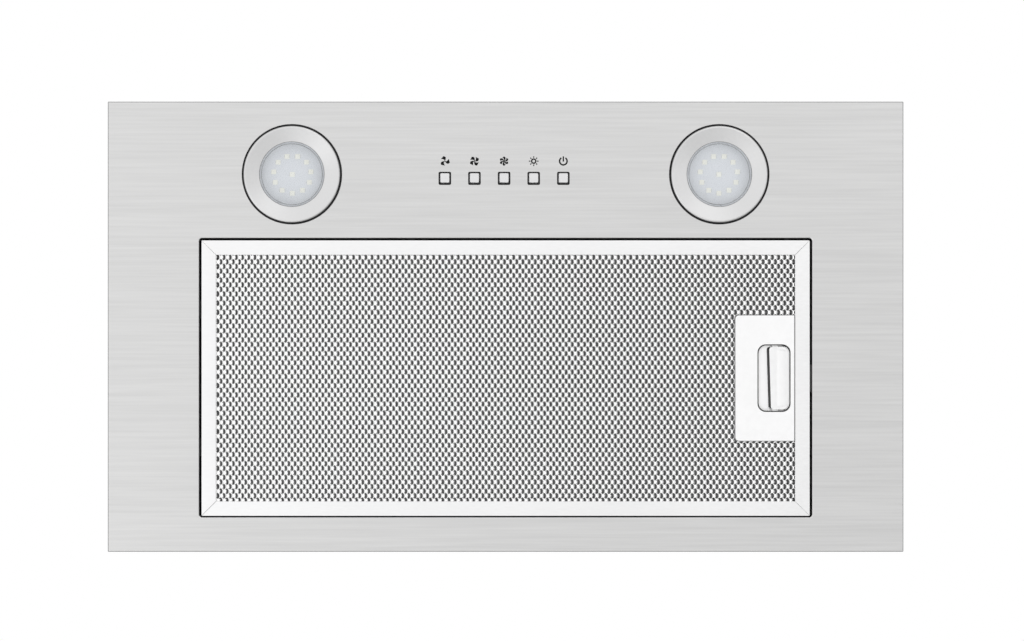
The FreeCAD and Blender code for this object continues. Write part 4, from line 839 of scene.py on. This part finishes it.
def addLatchSlide():
    left, right = latch["finger"]
    half = latch["fingerHalf"]
    top = latchLow.z + latch["fingerSink"]
    finger = addBlock(
        "latchSlide", (left, middleLine - half, top), (right, middleLine + half, slideHigh.z)
    )
    roundUprights(finger, latch["fingerCorner"], lambda edge: spot(edge).x > left + 1)
    roundUprights(finger, latch["fingerToe"], lambda edge: spot(edge).x < left + 1, 5)
    startEdit(finger)
    leftEnd = (left + latch["fingerToe"] + 0.1) * mm

    def atLeft(corner):
        return corner.co.x < leftEnd

    for way in (-1, 1):
        pick("verts", lambda corner: atLeft(corner) and (corner.co.y / mm - middleLine) * way > 0)
        bpy.ops.transform.translate(value=(way * latch["fingerSlant"] * mm, 0, 0))
    pick("verts", lambda corner: atLeft(corner) and corner.co.z > (top + 1) * mm)
    bpy.ops.transform.translate(value=(-latch["fingerFoot"] * mm, 0, 0))
    endEdit()
    softenEdges(finger, 0.25)
    bpy.ops.object.select_all(action="DESELECT")
    dishPlace = Vector((right, middleLine, top + latch["dishDepth"] - latch["dishRadius"])) * mm
    bpy.ops.mesh.primitive_cylinder_add(
        vertices=160, radius=latch["dishRadius"] * mm, depth=latch["dishHalf"] * 2 * mm,
        location=dishPlace, rotation=(math.pi / 2, 0, 0),
    )
    dish = bpy.context.object
    applyPlace(dish)
    cutAway(finger, dish)
    earLeft, earRight, earHalf = latch["ears"]
    tongueHalf, tongueThick = latch["tongue"]
    base = addBlock(
        "base", (left + 0.6, middleLine - half, slideBase),
        (latch["baseRight"], middleLine + half, slideHigh.z),
    )
    ears = addBlock(
        "ears", (earLeft, middleLine - earHalf, slideBase),
        (earRight, middleLine + earHalf, slideHigh.z),
    )
    tongue = addBlock(
        "tongue", (latch["baseRight"] - 1, middleLine - tongueHalf, slideBase),
        (slideHigh.x, middleLine + tongueHalf, slideBase + tongueThick),
    )
    for block in (base, ears, tongue):
        softenEdges(block, 0.25)
    slide = joined(finger, base, ears, tongue)
    finishPiece(slide, slidePlastic, "latch", "slide_plastic", "latch_slide")
    # painted shade: the finger's sloped foot and the tongue are near black, for the shade there
    slide.data.materials.append(paintedShadeDark)
    for side in slide.data.polygons:
        isFoot = side.center.x < left * mm and side.normal.x < -0.5
        if isFoot or side.center.x > latch["baseRight"] * mm:
            side.material_index = 1


addRails()
for sheet in nets["sheets"]:
    addNet(*sheet)
addLatchCover()
addLatchSlide()
print("filter and latch")

# Lamps: the left one is modelled, and the right one is its copy

lamps = {
    "bezel": 31.8,
    "rim": 0.9,
    "opening": 21.5,
    "dip": 1.5,
    "lip": 0.9,
    "spigot": (28.5, 27.0),
    "lensSeat": 22.6,
    # the black ring round the bezel, outer radius and height; it also stands in for the shade of the
    # gap there
    "gasketShade": (33.1, 0.5),
    "rings": ((19.95, 20.2), (21.3, 21.55)),  # thin seals at the lens and at the bezel's opening
    "ringHeight": 0.12,
    "chip": 3.1,
    "chipPad": 3.8,
    "padWidth": 0.6,  # in chips
    "chipRim": 0.3,
    "chipDip": 0.08,
    "chipHeight": 0.7,
    "chipCircle": 12.4,
    "chipCount": 11,
}


def addPair(piece, finish, slot, *nodes):
    twin = copied(piece, piece.name.replace("Left", "Right"), lampShift)
    for lamp in (piece, twin):
        finishPiece(lamp, finish, "hood", slot, *nodes)


def addLamps():
    crest, dip, lip = bezelLow.z, plateFace - lamps["dip"], lamps["lip"]
    opening = lamps["opening"]
    outer, inner = lamps["spigot"]
    bezelRadius, rim = lamps["bezel"], lamps["rim"]
    arc = [math.radians(turn) for turn in (0, 22, 45, 68, 90)]
    rounding = [
        (bezelRadius - rim + rim * math.cos(turn), crest + rim - rim * math.sin(turn))
        for turn in arc
    ]
    lipRounding = [
        (opening + lip, dip - 0.06),
        (opening + lip * 0.3, dip - 0.05),
        (opening + 0.05, dip),
        (opening, dip + 0.1),
    ]
    seatRadius = lamps["lensSeat"]
    bezel = addRound("lampBezelLeft", lampCentre, [
        (inner, bezelHigh.z), (outer, bezelHigh.z), (outer, plateFace), (bezelRadius, plateFace),
        *rounding,
        (bezelRadius - rim - 0.5, crest + 0.03), *lipRounding, (opening, plateFace),
        (seatRadius, plateFace), (seatRadius, lensHigh.z), (inner, lensHigh.z),
    ], 128, hollow=True)
    addPair(bezel, bezelSteel, "bezel_steel", "lamp_bezels")
    # a black rubber ring round each bezel, which also paints in the shade of the gap between the
    # bezel and the plate
    gasketRadius, gasketHeight = lamps["gasketShade"]
    gasketLow, gasketIn = plateFace - gasketHeight, bezelRadius - 0.3
    gasketShade = addRound("lampGasketLeft", lampCentre, [
        (gasketIn, plateFace), (gasketRadius, plateFace), (gasketRadius, gasketLow + 0.1),
        (gasketRadius - 0.1, gasketLow), (gasketIn, gasketLow),
    ], 96, hollow=True)
    addPair(gasketShade, blackRubber, "black_rubber")
    lensRadius = (lensHigh.y - lensLow.y) / 2
    lens = addRound("lampLensLeft", lampCentre, [
        (lensRadius, lensHigh.z), (lensRadius, lensLow.z + 0.1), (lensRadius - 0.1, lensLow.z),
        (1, lensLow.z),
    ], 128)
    addPair(lens, lensClear, "lamp_lens", "lamp_lenses")
    ringNames = ("lampSealLeft", "lampLineLeft")
    for name, (inside, outside), seat in zip(ringNames, lamps["rings"], (lensLow.z, dip)):
        ringLow = seat - lamps["ringHeight"]
        seal = addRound(name, lampCentre, [
            (inside, seat), (outside, seat), (outside, ringLow), (inside, ringLow)
        ], 96, hollow=True)
        addPair(seal, ringGrey, "black_rubber")
    boardRadius = (boardHigh.y - boardLow.y) / 2
    boardFront = boardLow.z + lamps["chipHeight"]
    board = addRound("ledBoardLeft", lampCentre, [
        (boardRadius, boardHigh.z), (boardRadius, boardFront + 0.1),
        (boardRadius - 0.1, boardFront), (1, boardFront),
    ], 64)
    addPair(board, boardWhite, "led_white", "led_boards")
    chip, pad = lamps["chip"] / 2, lamps["chipPad"] / 2
    padSide = chip * lamps["padWidth"]
    places = [(0, 0)]
    for i in range(lamps["chipCount"]):
        turn = math.radians(90 + i * 360 / lamps["chipCount"])
        places.append((lamps["chipCircle"] * math.cos(turn), lamps["chipCircle"] * math.sin(turn)))
    chips, pads = [], []
    for x, y in places:
        x, y = x + lampCentre[0], y + lampCentre[1]
        low, high = (x - chip, y - chip, boardLow.z), (x + chip, y + chip, boardFront)
        block = addBlock("chip", low, high)
        startEdit(block)
        pick("faces", lambda side: side.normal.z < -0.9)
        bpy.ops.mesh.inset(thickness=lamps["chipRim"] * mm)
        bpy.ops.transform.translate(value=(0, 0, lamps["chipDip"] * mm))
        endEdit()
        chips.append(block)
        pads.append(addBlock(
            "pad",
            (x - pad, y - padSide, boardFront - 0.05),
            (x + pad, y + padSide, boardFront + 0.02),
        ))
    padSet = joined(*pads)
    padSet.name = "ledPadsLeft"
    addPair(padSet, zincScrew, "led_white")
    chipSet = joined(*chips)
    chipSet.name = "ledChipsLeft"
    addPair(chipSet, chipPhosphor, "led_white")
    print("lamps")


addLamps()

# Push buttons: caps with rounded edges on square stems

buttons = {
    "cap": (5.8, 6.0, 1.6),
    "corner": 0.7,
    "edge": 0.3,
    "stem": 3,
}


def addButtons():
    length, width, depth = buttons["cap"]
    for node in buttonNames:
        low, high = (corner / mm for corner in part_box(node))
        centre = (low + high) / 2
        cap = addBlock(
            node.title().replace("_", ""), (centre.x - length / 2, centre.y - width / 2, low.z),
            (centre.x + length / 2, centre.y + width / 2, low.z + depth),
        )
        roundUprights(cap, buttons["corner"], steps=4)
        startEdit(cap)
        pick("faces", lambda side: side.normal.z > 0.9)
        flange = (high.x - low.x) / length
        bpy.ops.mesh.extrude_region_move(TRANSFORM_OT_translate={"value": (0, 0, 0.2 * mm)})
        bpy.ops.transform.resize(value=(flange, flange, 1), center_override=centre * mm)
        bpy.ops.mesh.extrude_region_move(TRANSFORM_OT_translate={"value": (0, 0, 0.8 * mm)})
        bpy.ops.mesh.inset(thickness=((high.x - low.x) - buttons["stem"]) / 2 * mm)
        stemTop = high.z - low.z - depth - 1
        bpy.ops.mesh.extrude_region_move(TRANSFORM_OT_translate={"value": (0, 0, stemTop * mm)})
        endEdit()
        softenEdges(cap, buttons["edge"], 2, 50)
        finishPiece(cap, capSilver, node, "button_silver", node)
    print("buttons")


addButtons()

# Printed symbols beside the buttons: a fan with 3, 4 and 6 blades, a lamp and a power sign

symbols = {
    "line": -109.25,
    "ink": 0.03,
    "fans": [(3, 3.5, 39), (4, 3.2, 84), (6, 2.0, 4)],  # blades, width, the first one's turn
    "bladeBend": 11,  # degrees at each of a blade's steps
    "fanRadius": 3.0,
    "bladeRoot": 0.35,
    "bladeNeck": 0.5,
    "bladeSwell": (0.7, 1.2),  # the part of its length by which it is full, and how it gets there
    "bladeTip": (0.9, 0.62),  # the part from which it is narrower, and by how much
    "lampRing": (1.85, 0.9),
    "rays": (8, 2.2, 3.2, 0.72),  # count, inner and outer end, width
    "powerRing": (3.0, 1.98),
    "powerGap": 32,  # half its angle, in degrees
    "powerBar": (0.46, -0.3, 3.2),
}


def inked(name, *parts):
    symbol = joined(*parts)
    symbol.name = name
    applyModifier(symbol, "SOLIDIFY", thickness=symbols["ink"] * mm, offset=0)
    symbol.data.transform(Matrix.Translation((0, 0, -symbols["ink"] / 2 * mm)))
    finishPiece(symbol, printBlack, "hood", "black_plastic")


def bladeSpan(part, width):  # how wide a blade is at a part of its length, in mm
    neck, (swellEnd, swell) = symbols["bladeNeck"], symbols["bladeSwell"]
    tipStart, tipShare = symbols["bladeTip"]
    full = neck + (width - neck) * min(1, part / swellEnd) ** swell
    return full * (tipShare if part > tipStart else 1)


def addBlade(centre, turn, width):
    root, tip = symbols["bladeRoot"], symbols["fanRadius"]
    steps = 6
    bpy.ops.object.select_all(action="DESELECT")
    place = centre + Vector((root, 0, 0)) * mm
    bpy.ops.mesh.primitive_plane_add(size=symbols["bladeNeck"] * mm, location=place)
    blade = bpy.context.object
    applyPlace(blade)
    startEdit(blade)
    pick("edges", lambda edge: spot(edge).x > centre.x / mm + root + 0.1)
    reach = (tip - root - symbols["bladeNeck"] / 2) / steps
    for step in range(steps):
        part = (step + 1) / steps
        grow = bladeSpan(part, width) / bladeSpan(part - 1 / steps, width)
        corners = bmesh.from_edit_mesh(blade.data).verts
        here = sum((corner.co for corner in corners if corner.select), Vector()) / 2
        pivot = here + Vector((reach, 0, 0)) * mm
        bpy.ops.mesh.extrude_edges_move(TRANSFORM_OT_translate={"value": (reach * mm, 0, 0)})
        bpy.ops.transform.resize(value=(1, grow, 1), center_override=pivot)
        bend = math.radians(symbols["bladeBend"])
        bpy.ops.transform.rotate(value=bend, orient_axis="Z", center_override=centre)
    bpy.ops.mesh.select_all(action="SELECT")
    bpy.ops.transform.rotate(value=-turn, orient_axis="Z", center_override=centre)
    bpy.ops.mesh.normals_make_consistent(inside=False)
    bpy.ops.object.mode_set(mode="OBJECT")
    return blade


def addArc(centre, outer, inner, start, end, steps):
    bpy.ops.object.select_all(action="DESELECT")
    place = centre + Vector(((outer + inner) / 2, 0, 0)) * mm
    bpy.ops.mesh.primitive_plane_add(size=(outer - inner) * mm, location=place)
    arc = bpy.context.object
    applyPlace(arc)
    startEdit(arc)
    pick("edges", lambda edge: spot(edge).y > centre.y / mm + 0.05)
    bpy.ops.mesh.select_all(action="INVERT")
    bpy.ops.mesh.delete(type="EDGE")
    bpy.ops.mesh.select_all(action="SELECT")
    bpy.ops.transform.translate(value=(0, -(outer - inner) / 2 * mm, 0))
    bpy.ops.transform.rotate(value=-start, orient_axis="Z", center_override=centre)
    bpy.ops.mesh.spin(steps=steps, angle=start - end, center=centre, axis=(0, 0, 1))
    bpy.ops.mesh.select_all(action="SELECT")
    bpy.ops.mesh.remove_doubles(threshold=0.002 * mm)
    bpy.ops.mesh.normals_make_consistent(inside=False)
    bpy.ops.object.mode_set(mode="OBJECT")
    return arc


def addBar(centre, width, start, end, turn):
    bpy.ops.object.select_all(action="DESELECT")
    place = centre + Vector((0, -(start + end) / 2, 0)) * mm
    bpy.ops.mesh.primitive_plane_add(size=mm, location=place)
    bar = bpy.context.object
    bar.scale = (width, end - start, 1)
    applyPlace(bar)
    startEdit(bar)
    bpy.ops.mesh.select_all(action="SELECT")
    bpy.ops.transform.rotate(value=turn, orient_axis="Z", center_override=centre)
    bpy.ops.object.mode_set(mode="OBJECT")
    return bar


def addSymbols():
    places = [Vector((centreOf(node).x, symbols["line"] * mm, face)) for node in buttonNames]
    for (count, width, start), centre in zip(symbols["fans"], places):
        turns = [math.radians(start + i * 360 / count) for i in range(count)]
        blades = [addBlade(centre, turn, width) for turn in turns]
        inked("fanSymbol" + str(count), *blades)
    centre = places[3]
    count, rayStart, rayEnd, rayWidth = symbols["rays"]
    outer, inner = symbols["lampRing"]
    parts = [addArc(centre, outer, inner, 0, 2 * math.pi, 32)]
    turns = [i * 2 * math.pi / count for i in range(count)]
    parts += [addBar(centre, rayWidth, rayStart, rayEnd, turn) for turn in turns]
    inked("lampSymbol", *parts)
    centre = places[4]
    outer, inner = symbols["powerRing"]
    gap = math.radians(symbols["powerGap"])
    halfBar, barStart, barEnd = symbols["powerBar"]
    ring = addArc(centre, outer, inner, gap - math.pi / 2, 1.5 * math.pi - gap, 32)
    inked("powerSymbol", ring, addBar(centre, halfBar * 2, barStart, barEnd, 0))
    print("symbols")


addSymbols()

# Light: a pale room that shines on all sides, and soft boxes below and above

lightPlan = {
    "ambient": 0.95,  # what the room gives to matt surfaces
    "softBoxes": [  # name, place, side, watts
        ("keyBox", (-1.0, 1.2, -1.7), 2.0, 6),
        ("fillBox", (1.0, -1.2, -1.7), 2.0, 4),
        ("sideBox", (1.5, 0.1, -1.8), 0.9, 1.5),
        ("topBox", (-1.2, -1.4, 2.0), 2.2, 9),
        ("backBox", (1.4, 1.6, 1.5), 2.0, 6),
    ],
    "shine": (0.45, 1.02),  # what metal mirrors of the room, level and steeply up or down
    "shineFull": 0.75,  # how steep that is
    "slant": (-1.3, -1.3, 0),  # how the shine falls off along X and Y
    "slantMost": 0.15,
    "floorLevel": -4.3,
}


def addSoftBoxes():
    for name, place, side, watts in lightPlan["softBoxes"]:
        bpy.ops.object.light_add(type="AREA", location=place)
        lamp = bpy.context.object
        lamp.name = name
        lamp.data.size = side
        lamp.data.energy = watts
        lamp.rotation_euler = Vector(place).to_track_quat("Z", "Y").to_euler()


def addRoom():
    world = bpy.data.worlds.new("room")
    bpy.context.scene.world = world
    world.use_nodes = True
    tree = world.node_tree
    link = tree.links.new
    back = tree.nodes["Background"]
    output = tree.nodes["World Output"]
    ray = tree.nodes.new("ShaderNodeLightPath")
    direction = tree.nodes.new("ShaderNodeTexCoord").outputs["Generated"]
    split = tree.nodes.new("ShaderNodeSeparateXYZ")
    link(direction, split.inputs[0])
    steep = tree.nodes.new("ShaderNodeMath")
    steep.operation = "ABSOLUTE"
    link(split.outputs["Z"], steep.inputs[0])
    shine = tree.nodes.new("ShaderNodeMapRange")
    shine.inputs["From Max"].default_value = lightPlan["shineFull"]
    shine.inputs["To Min"].default_value, shine.inputs["To Max"].default_value = lightPlan["shine"]
    link(steep.outputs[0], shine.inputs["Value"])
    slant = tree.nodes.new("ShaderNodeVectorMath")
    slant.operation = "DOT_PRODUCT"
    slant.inputs[1].default_value = lightPlan["slant"]
    link(direction, slant.inputs[0])
    held = tree.nodes.new("ShaderNodeMapRange")
    for socket, way in (("From Min", -1), ("To Min", -1), ("From Max", 1), ("To Max", 1)):
        held.inputs[socket].default_value = way * lightPlan["slantMost"]
    link(slant.outputs["Value"], held.inputs["Value"])
    total = tree.nodes.new("ShaderNodeMath")
    link(shine.outputs["Result"], total.inputs[0])
    link(held.outputs["Result"], total.inputs[1])
    glossy = tree.nodes.new("ShaderNodeBackground")
    link(total.outputs[0], glossy.inputs["Strength"])
    white = tree.nodes.new("ShaderNodeBackground")
    back.inputs["Strength"].default_value = lightPlan["ambient"]
    for shaderNode in (back, glossy, white):
        shaderNode.inputs["Color"].default_value = (1, 1, 1, 1)
    reflected = tree.nodes.new("ShaderNodeMixShader")
    link(ray.outputs["Is Glossy Ray"], reflected.inputs[0])
    link(back.outputs[0], reflected.inputs[1])
    link(glossy.outputs[0], reflected.inputs[2])
    seen = tree.nodes.new("ShaderNodeMath")
    seen.operation = "MAXIMUM"
    link(ray.outputs["Is Camera Ray"], seen.inputs[0])
    link(ray.outputs["Is Transmission Ray"], seen.inputs[1])
    final = tree.nodes.new("ShaderNodeMixShader")
    link(seen.outputs[0], final.inputs[0])
    link(reflected.outputs[0], final.inputs[1])
    link(white.outputs[0], final.inputs[2])
    link(final.outputs[0], output.inputs["Surface"])


def addFloor():
    bpy.ops.mesh.primitive_plane_add(size=40, location=(0, 0, lightPlan["floorLevel"]))
    floor = bpy.context.object
    floor.name = "floor"
    pale = newFinish("paleFloor", (0.86, 0.86, 0.86), 0.8)
    speckle = noise(pale, placed(pale), 3)
    feed(pale, "Base Color", blended(pale, speckle, (0.85, 0.85, 0.85), (0.88, 0.88, 0.88)))
    floor.data.materials.append(pale)
    floor.visible_glossy = False  # metal shows the room there


addSoftBoxes()
addRoom()
addFloor()
bpy.context.scene.view_settings.view_transform = "Standard"
print("light and floor")
